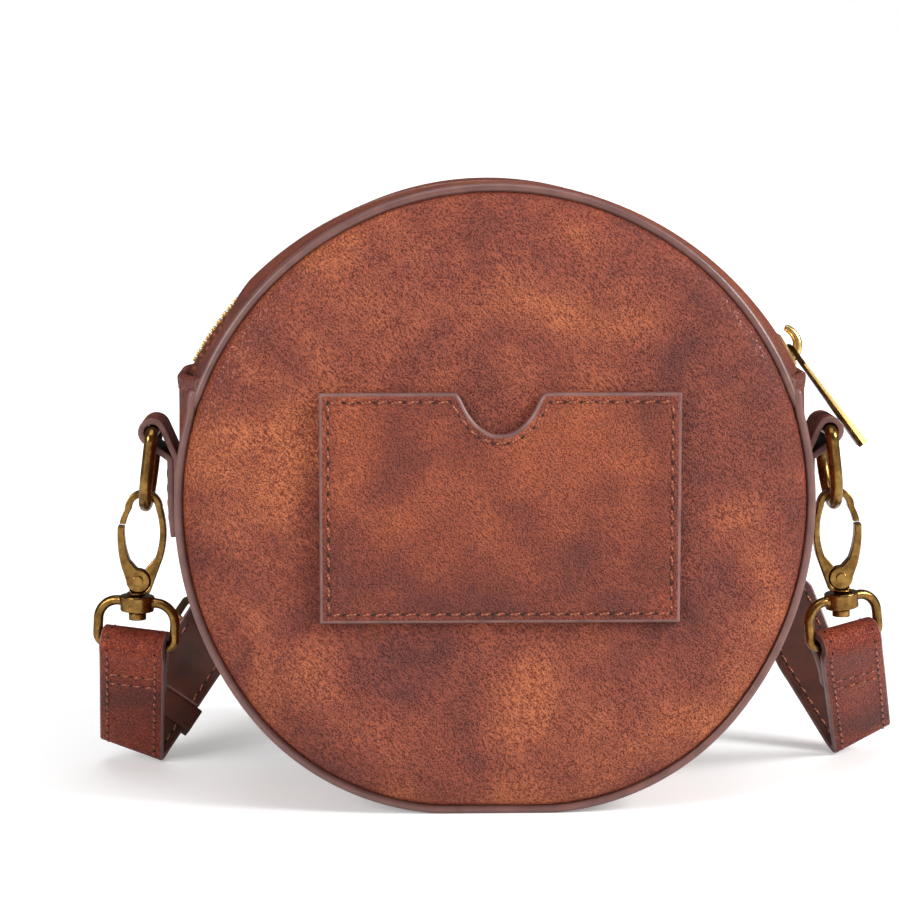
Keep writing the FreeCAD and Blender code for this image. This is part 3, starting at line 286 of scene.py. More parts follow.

# %% [markdown]
# Cut edges and piping are sealed: the dye there is a cooler grey-brown, smooth and a little shiny. The same
# colour is painted along the zip strips' turned edges as their highlight. The strap's underside is a darker
# split leather. The same few nodes with other colours also make the fibre board behind the faces and the
# near-black painted shade of a needle hole.

# %% Sealed edges, piping, split leather and board
def smooth_leather(name, low, high, patch_size, gloss, depth):
    material, tree, shader, place = new_material(name)
    cloud = add(tree, "TexNoise", "Fac", {
        "Vector": place, "Scale": per_metre(patch_size), "Detail": 3.0, "Roughness": 0.6})
    tone = add(tree, "ValToRGB", "Color", {"Fac": cloud}, stops=((0.35, colour(low)), (0.65, colour(high))))
    pores = add(tree, "TexNoise", "Fac", {"Vector": place, "Scale": per_metre(0.6), "Detail": 2.0})
    bump = add(tree, "Bump", "Normal", {"Height": pores, "Strength": 0.35, "Distance": depth * MM})
    rough = add(tree, "MapRange", "Result", {
        "Value": pores, "From Min": 0.3, "From Max": 0.7, "To Min": gloss,
        "To Max": gloss + 0.1})
    feed(tree, shader, {"Base Color": tone, "Roughness": rough, "Normal": bump, "IOR": 1.5})
    return material


PIPING_LEATHER = smooth_leather("sealed_piping_leather", "#62423e", "#765049", 9.0, 0.32, 0.05)
# Real sealed edges, and also the painted highlight along the zip strips' turned edges.
EDGE_PAINT_AND_HIGHLIGHT = smooth_leather("sealed_edge_and_highlight", "#634340", "#7d564f", 5.0, 0.36, 0.05)
SPLIT_LEATHER = smooth_leather("split_leather", "#33170f", "#52271a", 14.0, 0.46, 0.08)
STIFFENER_BOARD = smooth_leather("fibre_board", "#5c534a", "#7a7066", 4.0, 0.75, 0.1)
# A needle hole is drawn as a dark spot: painted shade where the hole is.
HOLE_SHADE = smooth_leather("painted_hole_shade", "#1c0a06", "#2a110b", 1.0, 0.7, 0.05)
BAND_FINISH = (BAND_LEATHER, SPLIT_LEATHER, EDGE_PAINT_AND_HIGHLIGHT)

# %% [markdown]
# The hardware is brass with an antique finish: it was darkened chemically and then rubbed, so gold shows
# where hands and polishing wheels reach and brown stays elsewhere. The zip is plain polished brass, with a
# dark brass painted on the pull's sides and underside as their shade, and the gates' springs are tempered
# steel.

# %% Brass and steel
SCRATCH_SIZE = 0.5
SCRATCH_DEPTH = 0.05


def brass(name, dark, bright, patch_size, share, low, high):
    material, tree, shader, place = new_material(name)
    patina = add(tree, "TexNoise", "Fac", {
        "Vector": place, "Scale": per_metre(patch_size), "Detail": 5.0, "Roughness": 0.65})
    tone = add(tree, "ValToRGB", "Color", {"Fac": patina}, stops=(
        (share - 0.14, colour(dark)), (share + 0.14, colour(bright))))
    rough = add(tree, "MapRange", "Result", {
        "Value": patina, "From Min": share - 0.15, "From Max": share + 0.15, "To Min": high,
        "To Max": low})
    scratch = add(tree, "TexNoise", "Fac", {
        "Vector": place, "Scale": per_metre(SCRATCH_SIZE), "Detail": 3.0})
    bump = add(tree, "Bump", "Normal", {
        "Height": scratch, "Strength": 0.12, "Distance": SCRATCH_DEPTH * MM})
    feed(tree, shader, {"Base Color": tone, "Roughness": rough, "Normal": bump, "Metallic": 1.0})
    return material


ANTIQUE_BRASS = brass("rubbed_antique_brass", "#6a4c26", "#a07a42", 4.0, 0.50, 0.22, 0.32)
ZIP_BRASS = brass("polished_zip_brass", "#b48d4c", "#e2bf7e", 2.5, 0.40, 0.32, 0.42)
# A dark brass painted on the zip pull's sides and underside as their shade.
PULL_SHADE_BRASS = brass("painted_shade_zip_brass", "#2b1a0d", "#5b4022", 2.0, 0.50, 0.28, 0.40)
SPRING_STEEL = brass("tempered_steel", "#6f7073", "#b9bbbf", 2.0, 0.45, 0.25, 0.35)

# %% [markdown]
# Zip tape, lining, piping cord and sewing thread are woven or twisted. At this distance their threads are
# finer than a pixel, so the weave is drawn at about twice its real spacing.

# %% Cloth and thread
WAVE_TURN = 6.28
THREAD_DEPTH = 0.1


def cloth(name, low, high, spacing, turn, rough=0.85):
    """A weave turned about Y by so many degrees."""
    material, tree, shader, place = new_material(name)
    place = add(tree, "Mapping", "Vector", {"Vector": place, "Rotation": (0, math.radians(turn), 0)})
    warp, weft = (add(tree, "TexWave", "Fac", {
        "Vector": place, "Scale": per_metre(spacing) / WAVE_TURN, "Distortion": 0.6},
        bands_direction=way) for way in "XZ")
    weave = add(tree, "Math", "Value", {0: warp, 1: weft}, operation="MULTIPLY")
    tone = add(tree, "ValToRGB", "Color", {"Fac": weave}, stops=((0.0, colour(low)), (0.8, colour(high))))
    bump = add(tree, "Bump", "Normal", {"Height": weave, "Strength": 0.6, "Distance": THREAD_DEPTH * MM})
    feed(tree, shader, {"Base Color": tone, "Normal": bump, "Roughness": rough})
    return material


ZIP_TAPE = cloth("woven_zip_tape", "#54281a", "#8f4c30", 1.0, 0)
LINING_TWILL = cloth("cotton_twill", "#453024", "#6d5140", 1.2, 45)
COTTON_CORD = cloth("cotton_cord", "#a8997f", "#d8ccb4", 1.4, 30)
# The thread's lighter ridges are partly its own tone and partly painted glints on its twist.
THREAD = cloth("waxed_thread", "#6a3020", "#b86f4a", 0.5, 35, rough=0.4)

# %% [markdown]
# The outline of the bag is round above and a little fuller below, where the leather sags, with a short
# flat where it stands. The same outline, drawn further in, gives the piping, the panels and the lining.

# %% The rim outline
RIM = 92.0
FLOOR_SAG = 1.5
SIDE_FULLNESS = 8.0
CORNER_TIGHTNESS = 17.0
CENTRE_Z = RIM - FLOOR_SAG
SIDE_RADIUS = RIM + SIDE_FULLNESS
CORNER_RADIUS = RIM - CORNER_TIGHTNESS
CORNER_RUN = math.sqrt((SIDE_FULLNESS + CORNER_TIGHTNESS) ** 2 - (CORNER_TIGHTNESS - FLOOR_SAG) ** 2)
CORNER_X = CORNER_RUN - SIDE_FULLNESS
SAG = math.atan2(CORNER_TIGHTNESS - FLOOR_SAG, CORNER_RUN)
LOWER_STEPS = 36
UPPER_STEPS = 145
SIDES = ((-1, "pocket_side", "back"), (1, "plain_side", "front"))
ENDS = ((1, "right"), (-1, "left"))


def arc(x, z, radius, first, last, steps):
    angles = np.linspace(first, last, steps)
    return np.stack([x + radius * np.cos(angles), z + radius * np.sin(angles)], axis=1)


def arch(z, radius, end_rise, inset, steps):
    """An arc over the top, between two ends that rise as far above its centre."""
    start = math.asin(end_rise / radius)
    return arc(0, z, radius - inset, start, math.pi - start, steps)


def lower_right(inset):
    side = arc(-SIDE_FULLNESS, CENTRE_Z, SIDE_RADIUS - inset, 0, -SAG, LOWER_STEPS)
    corner = arc(CORNER_X, CORNER_RADIUS, CORNER_RADIUS - inset, -SAG, -math.pi / 2, LOWER_STEPS)
    return np.concatenate([side, corner[1:]])


def both_halves(right):
    """A line down the right half of the bag, and on up the left half."""
    return np.concatenate([right, right[::-1] * (-1, 1)])


def rim(inset):
    top = arc(0, CENTRE_Z, RIM - inset, 0, math.pi, UPPER_STEPS)
    bottom = both_halves(lower_right(inset))[::-1]
    return np.concatenate([top, bottom[1:-1]])


def inset_of(x, z):
    """How far a point lies inside the rim."""
    x = abs(x)
    if z >= CENTRE_Z:
        return RIM - math.hypot(x, z - CENTRE_Z)
    if math.atan2(CENTRE_Z - z, x + SIDE_FULLNESS) <= SAG:
        return SIDE_RADIUS - math.hypot(x + SIDE_FULLNESS, z - CENTRE_Z)
    if x >= CORNER_X:
        return CORNER_RADIUS - math.hypot(x - CORNER_X, z - CORNER_RADIUS)
    return z


def soft_step(value):
    """0 below 0 and 1 above 1, with a soft rise between them."""
    share = min(1.0, max(0.0, value))
    return share * share * (3 - 2 * share)


print("rim points", len(rim(0)))

# %% [markdown]
# Each face is one round panel, drawn tight over a board, whose border rolls down into the seam. A filled
# circle is inset ring by ring, and each ring is set to the height of the rolled border, with slight gathers
# where stitches pull. The outermost rings are the seam allowance, which goes down under the piping.

# %% Face panels
SEAM_INSET = 2.8
CROWN_WIDTH = 15.2
CROWN_DROP = 4.3
CROWN_RADIUS = (CROWN_WIDTH ** 2 + CROWN_DROP ** 2) / (2 * CROWN_DROP)
FACE_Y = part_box("front_panel")[1].y / MM
PANEL_LEATHER = 1.6
SKIRT = 1.2
SKIRT_SLOPE = 1.4
RING_STEPS = [SKIRT / 2, SKIRT / 2, 0.35, 0.5, 0.8, 1.1] + [1.5] * 8 + [4.0] * 12
GATHER_PITCH = 4.6
GATHER_DEPTH = 0.13
GATHER_FADE = 2.5
ROLL_DEPTH = 0.9
ROLL_FADE = 0.35
DIMPLE = 0.35
DIMPLE_SIZE = 23.0
DIMPLE_LAYER = 0.4
DIMPLE_FADE = 12.0


def crown_y(inset):
    run = max(0.0, SEAM_INSET + CROWN_WIDTH - inset)
    return FACE_Y - CROWN_RADIUS + math.sqrt(CROWN_RADIUS ** 2 - run ** 2)


def face_height(x, z):
    inset = inset_of(x, z)
    hidden = SKIRT_SLOPE * max(0.0, SEAM_INSET - inset)
    depth = max(0.0, inset - SEAM_INSET)
    around = RIM * math.atan2(z - CENTRE_Z, x)
    gather = GATHER_DEPTH * math.sin(2 * math.pi * around / GATHER_PITCH) * math.exp(-depth / GATHER_FADE)
    roll = ROLL_DEPTH * math.exp(-depth / ROLL_FADE)
    dent = abs(noise.noise(Vector((x / DIMPLE_SIZE, DIMPLE_LAYER, z / DIMPLE_SIZE))))
    soft = DIMPLE * dent * min(1.0, depth / DIMPLE_FADE)
    return crown_y(inset) - roll + gather - soft - hidden


def build_face(name, side, node):
    outline = rim(SEAM_INSET - SKIRT)
    bpy.ops.mesh.primitive_circle_add(vertices=len(outline), fill_type="NGON")
    piece = named(name)
    lay_points(piece, [(x, 0, z) for x, z in outline])
    with editing(piece):
        for step in RING_STEPS:
            bpy.ops.mesh.inset(thickness=step * MM, depth=0, use_even_offset=True)
        bpy.ops.mesh.poke()
    lay_points(piece, [(x, side * face_height(x, z), z) for x, _, z in points_of(piece)])
    face_towards(piece, (0, side, 0))
    dress(piece, FACE_LEATHER, SPLIT_LEATHER, EDGE_PAINT_AND_HIGHLIGHT)
    give_depth(piece, PANEL_LEATHER)
    smooth_shaded(piece, 60)
    settle(piece, "bag", "brown_leather", node)


for side, side_name, node in SIDES:
    build_face(side_name + "_face", side, node + "_panel")

# %% [markdown]
# Piping is a strip of leather folded round a cord and sewn into the seam. Each side has two lengths: one
# over the zip that thins out at its ends, and one round the gusset, whose round ends lap over the first.
# A curve with a round bevel keeps its section all the way and can taper at its ends.

# %% A round wire along a line
def wire(name, points, radius, shares=None, closed=False):
    """A round wire through the points; shares are each point's share of the radius."""
    points = np.asarray(points, float)
    bpy.ops.mesh.primitive_circle_add(vertices=len(points), fill_type="NOTHING")
    piece = named(name)
    lay_points(piece, points)
    if not closed:
        with editing(piece):
            bpy.ops.mesh.select_mode(type="EDGE")
            bpy.ops.mesh.select_all(action="DESELECT")
        for edge in piece.data.edges:
            edge.select = set(edge.vertices) == {0, len(points) - 1}
        bpy.ops.object.mode_set(mode="EDIT")
        bpy.ops.mesh.delete(type="EDGE")
        bpy.ops.object.mode_set(mode="OBJECT")
    bpy.ops.object.convert(target="CURVE")
    piece.data.bevel_depth = radius * MM
    piece.data.bevel_resolution = 5
    piece.data.use_fill_caps = True
    if shares is not None:
        for spot in piece.data.splines[0].points:
            nearest = lengths(points * MM - np.array(spot.co[:3])).argmin()
            spot.radius = shares[nearest]
    bpy.ops.object.convert(target="MESH")
    smooth_shaded(piece, 60)
    return piece


# %% Piping
PIPING_RADIUS = 1.3
PIPING_INSET = 1.35
PIPING_Y = (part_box("front_piping")[0].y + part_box("front_piping")[1].y) / 2 / MM
CORD_RADIUS = 0.35
CORD_INSET = 1.35
ZIP_END_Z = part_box("lower_gusset")[1].z / MM
ZIP_END_RISE = ZIP_END_Z - CENTRE_Z
UPPER_PAST_ZIP = 10.0
UPPER_TAPER = 7.0
UPPER_POINTS = 161
THIN_END = 0.3
LOWER_BELOW_ZIP = 2.5
LOWER_OUT = 0.25
LOWER_POINTS = 40
LAP_OUT = 1.4
LAP_RUN = 4.5
ROUND_END = np.sqrt(1 - np.linspace(0.98, 0, 7) ** 2)


def upper_piping():
    """The length over the zip and its shares of the radius: it thins out under the other one."""
    line = arch(CENTRE_Z, RIM, ZIP_END_RISE - UPPER_PAST_ZIP, PIPING_INSET, UPPER_POINTS)
    run = run_along(line)
    from_end = np.minimum(run, run[-1] - run)
    return line, np.minimum(1.0, THIN_END + (1 - THIN_END) * from_end / UPPER_TAPER)


def lower_piping():
    """The length round the gusset: each end is round and lies outside the upper length."""
    start = math.asin((ZIP_END_RISE - LOWER_BELOW_ZIP) / RIM)
    tip = np.linspace(0, PIPING_RADIUS, len(ROUND_END))
    fall = np.concatenate([tip, np.linspace(PIPING_RADIUS, start * RIM, LOWER_POINTS)[1:]])
    out = RIM - PIPING_INSET + LOWER_OUT + LAP_OUT * np.exp(-(fall / LAP_RUN) ** 2)
    turn = start - fall / RIM
    leg = np.stack([out * np.cos(turn), CENTRE_Z + out * np.sin(turn)], axis=1)
    right = np.concatenate([leg, lower_right(PIPING_INSET - LOWER_OUT)[1:]])
    right[:, 1] = np.maximum(right[:, 1], PIPING_RADIUS)
    shares = np.concatenate([ROUND_END, np.ones(len(right) - len(ROUND_END))])
    return both_halves(right), np.concatenate([shares, shares[::-1]])


def build_piping(side, side_name, node):
    def beside(line):
        return [(x, side * PIPING_Y, z) for x, z in line]

    both = (("zip_piping_", upper_piping(), [node]), ("gusset_piping_", lower_piping(), []))
    for name, (line, shares), replaced in both:
        piping = wire(name + side_name, beside(line), PIPING_RADIUS, shares)
        dress(piping, PIPING_LEATHER)
        settle(piping, "bag", "piping_leather", *replaced)
    cord = wire("cord_" + side_name, beside(rim(CORD_INSET)), CORD_RADIUS, closed=True)
    dress(cord, COTTON_CORD)
    settle(cord, "bag", "piping_cord", node + "_cord")


for side, side_name, node in SIDES:
    build_piping(side, side_name, node + "_piping")

# %% [markdown]
# The band round the bag is a lower gusset, from zip end to zip end under the bag, with a zip let into its
# upper part between two strips of leather. The gusset's ends are folded over and sewn across.

# %% Lower gusset
HALF_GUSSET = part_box("lower_gusset")[1].y / MM
FLAT_HALF = 10.5
GUSSET_COLUMNS = 25
BAND_BELOW_ZIP = 1.5
BAND_END_Z = ZIP_END_Z - BAND_BELOW_ZIP
SIDE_STEPS = 24
CUT_ROUND = 0.4


def gusset_path(upright):
    if upright:
        start = np.stack([np.full(SIDE_STEPS, RIM), np.linspace(BAND_END_Z, CENTRE_Z, SIDE_STEPS)], axis=1)
    else:
        start = arc(0, CENTRE_Z, RIM, math.asin((BAND_END_Z - CENTRE_Z) / RIM), 0, SIDE_STEPS)
    return both_halves(np.concatenate([start, lower_right(0)[1:]]))


def gusset_spot(k, y):
    """Where the band lies at one station: upright behind the tab, round towards the piping."""
    share = soft_step((abs(y) - FLAT_HALF) / (HALF_GUSSET - FLAT_HALF))
    return (1 - share) * UPRIGHT_PATH[k] + share * ROUND_PATH[k]


UPRIGHT_PATH = gusset_path(True)
ROUND_PATH = gusset_path(False)
gusset_y = np.linspace(HALF_GUSSET, -HALF_GUSSET, GUSSET_COLUMNS)
gusset_rows = []
for k in range(len(UPRIGHT_PATH)):
    spots = [gusset_spot(k, y) for y in gusset_y]
    gusset_rows.append([(x, y, z) for (x, z), y in zip(spots, gusset_y)])
gusset = sheet("gusset_band", gusset_rows, (0, 0, -1), BAND_FINISH)
thicken(gusset, PANEL_LEATHER, CUT_ROUND)
settle(gusset, "bag", "brown_leather", "lower_gusset")

# %% Folded ends of the gusset
HEM_RADIUS = 1.4
HEM_PROUD = 0.5
HEM_DEPTH = 3.2
HEM_SINK = 0.5
HEM_ABOVE_ZIP = 0.7
HEM_LEATHER = 1.0
HEM_EDGE_ROUND = 0.3
HEM_MIDDLE_Z = ZIP_END_Z + HEM_ABOVE_ZIP - HEM_RADIUS
# The fold's section, out from the band and up from the fold's middle, rises from below and turns inwards.
HEM_LINE = [(-HEM_SINK, -HEM_DEPTH), (0.2, 0.75 - HEM_DEPTH), (HEM_PROUD - 0.1, 1.5 - HEM_DEPTH)]
HEM_LINE += [tuple(p) for p in arc(HEM_PROUD - HEM_RADIUS, 0, HEM_RADIUS, 0, math.pi, 11)]
HEM_LINE += [(HEM_PROUD - 2 * HEM_RADIUS, -HEM_DEPTH)]


def build_hem(name, side):
    rows = []
    for out, rise in HEM_LINE:
        rows.append([(side * (gusset_spot(0, y)[0] + out), y, HEM_MIDDLE_Z + rise) for y in gusset_y])
    hem = sheet(name, rows, (0, 0, 1), BAND_FINISH)
    thicken(hem, HEM_LEATHER, HEM_EDGE_ROUND)
    settle(hem, "bag", "brown_leather")


for side, end in ENDS:
    build_hem("gusset_end_" + end, side)

# %% [markdown]
# The two zip strips rise from the piping to the zip, which arches a little higher than the rim where the
# bag's mouth curves. Their inner edges are turned under, with the sealed edges' pale colour painted along
# them as a highlight, and the tape is sewn below them. Near the zip's left end the strips sink, and the zip
# stands out of them.

# %% Zip curves
ZIP_AXIS_Z = JOINT["zip_slider_travel"]["pos_m"][2] / MM
ZIP_RADIUS = RIM + CENTRE_Z - ZIP_AXIS_Z
ZIP_SLOT = 2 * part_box("zip_strip_front")[0].y / MM
STRIP_WIDTH = HALF_GUSSET - ZIP_SLOT / 2
STRIP_END_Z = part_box("zip_strip_front")[0].z / MM
ZIP_STATIONS = 121
EDGE_DIP = 0.1
OPEN_DIP = 3.2
EDGE_DIP_RUN = 14.0
OPEN_FROM = math.radians(44)
OPEN_FULL = math.radians(55)


def zip_curve(share, drop=0.0):
    """The band over the top: share 0 is the zip's own arc, share 1 the rim's."""
    zip_line = arch(ZIP_AXIS_Z, ZIP_RADIUS, STRIP_END_Z - ZIP_AXIS_Z, drop, ZIP_STATIONS)
    rim_line = arch(CENTRE_Z, RIM, STRIP_END_Z - CENTRE_Z, drop, ZIP_STATIONS)
    return zip_line * (1 - share) + rim_line * share


def opening(x, z):
    """How far the zip stands out of its strips: wholly near its left end, not over the top."""
    lean = math.atan2(-x, z - ZIP_AXIS_Z)
    return soft_step((lean - OPEN_FROM) / (OPEN_FULL - OPEN_FROM))


def moved_out(x, z, way):
    """A point moved away from the zip's axis."""
    grown = 1 + way / math.hypot(x, z - ZIP_AXIS_Z)
    return x * grown, ZIP_AXIS_Z + (z - ZIP_AXIS_Z) * grown


def strip_line(side, run):
    """A line along a zip strip, a given way from its inner edge, which dips to the tape."""
    fade = math.exp(-run / EDGE_DIP_RUN)
    line = []
    for x, z in zip_curve(run / STRIP_WIDTH):
        x, z = moved_out(x, z, -fade * (EDGE_DIP + OPEN_DIP * opening(x, z)))
        line.append((x, side * (ZIP_SLOT / 2 + run), z))
    return line


# %% Zip strips and tape
STRIP_SHARES = (0, 0.02, 0.04, 0.07, 0.11, 0.16, 0.21, 0.27, 0.34, 0.45, 0.6, 0.8, 1)
STRIP_EDGE_ROUND = 0.6
# Width of the painted highlight along the strips' turned inner edges.
TURNED_EDGE_HIGHLIGHT = 1.3
TAPE_BELOW_LEATHER = 0.1
TAPE_RADIUS = ZIP_RADIUS - PANEL_LEATHER - TAPE_BELOW_LEATHER
TAPE_UNDER_STRIP = 0.2
TAPE_SINK = 1.1 * OPEN_DIP
TAPE_DROP_Y = ZIP_SLOT / 2 - 0.06
TAPE_DROP_RUN = 0.01
TAPE_LEVEL_Y = (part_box("zip_tape_front")[0].y / MM, 3.7, 4.2, TAPE_DROP_Y)
TAPE_LOW_Y = (TAPE_DROP_Y + TAPE_DROP_RUN, ZIP_SLOT / 2 + 1.5)
TAPE_THICKNESS = 0.2
TAPE_EDGE_ROUND = 0.05


def build_strip(name, side, node):
    columns = [strip_line(side, share * STRIP_WIDTH) for share in STRIP_SHARES]
    strip = sheet(name, np.array(columns).transpose(1, 0, 2), (0, 0, 1), BAND_FINISH)
    # A band along the turned inner edge takes the sealed edges' pale colour as a painted highlight.
    for face in strip.data.polygons:
        face.material_index = 2 if abs(face.center.y) / MM < ZIP_SLOT / 2 + TURNED_EDGE_HIGHLIGHT else 0
    thicken(strip, PANEL_LEATHER, STRIP_EDGE_ROUND)
    settle(strip, "bag", "brown_leather", node)


def build_tape(name, side, node):
    """The tape lies level beside the teeth, and drops under the strip where the zip stands out."""
    rows = []
    for x, z in zip_curve(0, ZIP_RADIUS - TAPE_RADIUS):
        low_x, low_z = moved_out(x, z, -TAPE_UNDER_STRIP - TAPE_SINK * opening(x, z))
        level = [(x, side * y, z) for y in TAPE_LEVEL_Y]
        rows.append(level + [(low_x, side * y, low_z) for y in TAPE_LOW_Y])
    tape = sheet(name, rows, (0, 0, 1), [ZIP_TAPE] * 3)
    thicken(tape, TAPE_THICKNESS, TAPE_EDGE_ROUND)
    settle(tape, "bag", "zip_tape", node)


for side, side_name, node in SIDES:
    build_strip("zip_strip_" + side_name, side, "zip_strip_" + node)
for side, side_name, node in SIDES:
    build_tape("tape_" + side_name, side, "zip_tape_" + node)

# %% [markdown]
# A stitch is a short thread that dives into a needle hole at each end. One stitch with its hole, a dark spot
# painted as the hole's shade, is modelled, copied along a seam and joined, so each seam is one piece with two
# materials.

# %% Stitches
THREAD_RADIUS = 0.42
THREAD_FLATNESS = 0.8
THREAD_SHARE = 0.7
THREAD_LEAN = math.radians(9)
HOLE_SIZE = (0.62, 0.42, 0.16)


def unit_ball():
    """A coarse ball, and its points for a radius of one millimetre."""
    bpy.ops.mesh.primitive_uv_sphere_add(segments=6, ring_count=5, radius=1.0)
    return bpy.context.object, points_of(bpy.context.object) * MM


def model_stitch(pitch):
    """One thread along X with the dark spot of the needle hole's painted shade at its start, lying on Z = 0.
    """
    hole, points = unit_ball()
    lay_points(hole, points * HOLE_SIZE - (pitch / 2, 0, 0))
    # The hole's dark spot is painted shade.
    dress(hole, HOLE_SHADE)
    stitch, points = unit_ball()
    thread = points[:, [2, 0, 1]] * (pitch * THREAD_SHARE / 2, THREAD_RADIUS, THREAD_RADIUS * THREAD_FLATNESS)
    lean = np.array(((math.cos(THREAD_LEAN), math.sin(THREAD_LEAN), 0),
                     (-math.sin(THREAD_LEAN), math.cos(THREAD_LEAN), 0), (0, 0, 1)))
    lay_points(stitch, thread @ lean)
    dress(stitch, THREAD)
    hole.select_set(True)
    bpy.ops.object.join()
    smooth_shaded(stitch, 80)
    return stitch


def along_line(line, pitch):
    """Evenly spaced points on a line, a whole number of steps of about one pitch."""
    run = run_along(line[:, :3])
    places = np.linspace(0, run[-1], max(1, round(run[-1] / pitch)) + 1)
    return np.stack([np.interp(places, run, column) for column in line.T], axis=1)


def standing(middle, ahead, up):
    ahead = Vector(ahead).normalized()
    side = Vector(up).cross(ahead).normalized()
    turn = Matrix((ahead, side, ahead.cross(side))).transposed().to_4x4()
    return Matrix.Translation(Vector(middle) * MM) @ turn


def sew(name, lines, outwards, pitch=4.4):
    """Stitches along each line; outwards is the direction off the leather."""
    stitch = model_stitch(pitch)
    copies = []
    for line, outward in zip(lines, outwards):
        outward = np.broadcast_to(np.asarray(outward, float), (len(line), 3))
        spots = along_line(np.hstack([np.asarray(line, float), outward]), pitch)
        for here, there in zip(spots, spots[1:]):
            copy = stitch.copy()
            copy.data = stitch.data.copy()
            copy.data.transform(standing((here + there)[:3] / 2, (there - here)[:3], (here + there)[3:]))
            bpy.context.collection.objects.link(copy)
            copies.append(copy)
    bpy.data.objects.remove(stitch)
    pick(copies[0])
    for copy in copies:
        copy.select_set(True)
    bpy.ops.object.join()
    print("stitches", len(copies))
    settle(named(name), "bag", "brown_leather")


# %% Seams of the band
ROW_FROM_ZIP = 2.2
ROW_FROM_PIPING = 16.0
ZIP_PITCH = 3.6
STITCH_SINK = 0.25
HEM_PITCH = 4.0
HEM_SEAM_END = 2.0
HEM_SEAM_POINTS = 31
HEM_SEAM_OUT = 0.1
HEM_SEAM_UP = 0.4


def sunk(line):
    """A stitch line pressed into the strip, so that the outline of the bag stays smooth."""
    lower = []
    for x, y, z in line:
        x, z = moved_out(x, z, -STITCH_SINK)
        lower.append((x, y, z))
    return lower


def off_zip_axis(line):
    return [(x, 0, z - ZIP_AXIS_Z) for x, _, z in line]


for side, side_name, _ in SIDES:
    rows = [sunk(strip_line(side, run)) for run in (ROW_FROM_ZIP, STRIP_WIDTH - ROW_FROM_PIPING)]
    sew("zip_seams_" + side_name, rows, [off_zip_axis(row) for row in rows], ZIP_PITCH)
hem_seam_z = HEM_MIDDLE_Z - HEM_DEPTH + HEM_SEAM_UP
for side, end in reversed(ENDS):
    hem_seam = []
    for y in np.linspace(-HALF_GUSSET + HEM_SEAM_END, HALF_GUSSET - HEM_SEAM_END, HEM_SEAM_POINTS):
        hem_seam.append((side * (gusset_spot(0, y)[0] + HEM_SEAM_OUT), y, hem_seam_z))
    sew("gusset_end_seam_" + end, [hem_seam], [(side, 0, 0.1)], HEM_PITCH)

# %% [markdown]
# The card pocket is a rectangle of the same leather, sewn on three sides, with a thumb notch in its open
# top. The stitch line presses a shallow groove into it, and its cut edge is sealed.

# %% The pocket's outline
pocket_low, pocket_high = (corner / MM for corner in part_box("card_pocket"))
POCKET_X = (pocket_low.x + pocket_high.x) / 2
NOTCH_HALF = 11.6
NOTCH_DEPTH = 12.0
NOTCH_POWER = 0.72
NOTCH_POINTS = 177
NOTCH_COLUMN = 4
SHOULDER = 1.1


def notch_drop(x):
    """Depth of the thumb notch, averaged over a short way to round its shoulders."""
    share = (x - POCKET_X + SHOULDER * np.linspace(-1, 1, 7)) / NOTCH_HALF
    return NOTCH_DEPTH * np.mean(np.maximum(0.0, 1 - share * share) ** NOTCH_POWER)


def top_z(x):
    return pocket_high.z - notch_drop(x)


fine_x = POCKET_X + (NOTCH_HALF + SHOULDER) * np.sin(np.linspace(-math.pi / 2, math.pi / 2, NOTCH_POINTS))
fine_line = np.array([(x, top_z(x)) for x in fine_x])
notch_x = fine_x[::NOTCH_COLUMN]
notch_line = fine_line[::NOTCH_COLUMN]


def pocket_edge_distance(x, z):
    near = min(x - pocket_low.x, pocket_high.x - x, z - pocket_low.z)
    notch = lengths(fine_line - (x, z)).min()
    top = pocket_high.z - z if abs(x - POCKET_X) > NOTCH_HALF else notch
    return max(0.0, min(near, top, notch))


print("notch points", len(fine_line))

# %% Card pocket
SEAM_IN = 2.6
SEAM_GROOVE = 0.3
GROOVE_HALF = 0.5
EDGE_ROUND = 0.9
ON_THE_EDGE = 0.01
PAINT_WIDTH = 1.0
POCKET_RISE = 0.5
POCKET_INSIDE = 0.5
POCKET_FACE_Y = pocket_low.y - POCKET_RISE
NEAR_EDGE = [0, 0.05, 0.2, 0.45, 0.9, 1.2, 1.6, 2.0, 2.3, 2.6, 2.9, 3.3, 4.2]
BORDER = NEAR_EDGE[-1]
RUN_COLUMNS = 20
MIDDLE_ROWS = 26


def pocket_face(x, z):
    """The outer face: a rolled edge, a wall down to the panel, and the groove of the seam."""
    distance = pocket_edge_distance(x, z)
    if distance < ON_THE_EDGE:
        return pocket_high.y
    groove = SEAM_GROOVE * math.exp(-((distance - SEAM_IN) / GROOVE_HALF) ** 2)
    rolled = max(0.0, EDGE_ROUND - distance)
    return POCKET_FACE_Y + groove + EDGE_ROUND - math.sqrt(EDGE_ROUND ** 2 - rolled ** 2)


left_x = [pocket_low.x + step for step in NEAR_EDGE]
right_x = [pocket_high.x - step for step in reversed(NEAR_EDGE)]
left_run = list(np.linspace(left_x[-1], notch_x[0], RUN_COLUMNS)[1:-1])
right_run = list(np.linspace(notch_x[-1], right_x[0], RUN_COLUMNS)[1:-1])
columns = left_x + left_run + list(notch_x) + right_run + right_x
pocket_rows = [[(x, pocket_low.z + step) for x in columns] for step in NEAR_EDGE]
for share in np.linspace(0, 1, MIDDLE_ROWS)[1:-1]:
    low = pocket_low.z + BORDER
    pocket_rows.append([(x, low + share * (top_z(x) - BORDER - low)) for x in columns])
pocket_rows += [[(x, top_z(x) - step) for x in columns] for step in reversed(NEAR_EDGE)]
pocket_rows = [[(x, pocket_face(x, z), z) for x, z in row] for row in pocket_rows]
pocket = sheet("pocket_leather_panel", pocket_rows, (0, -1, 0), (POCKET_LEATHER, SPLIT_LEATHER, EDGE_PAINT_AND_HIGHLIGHT))
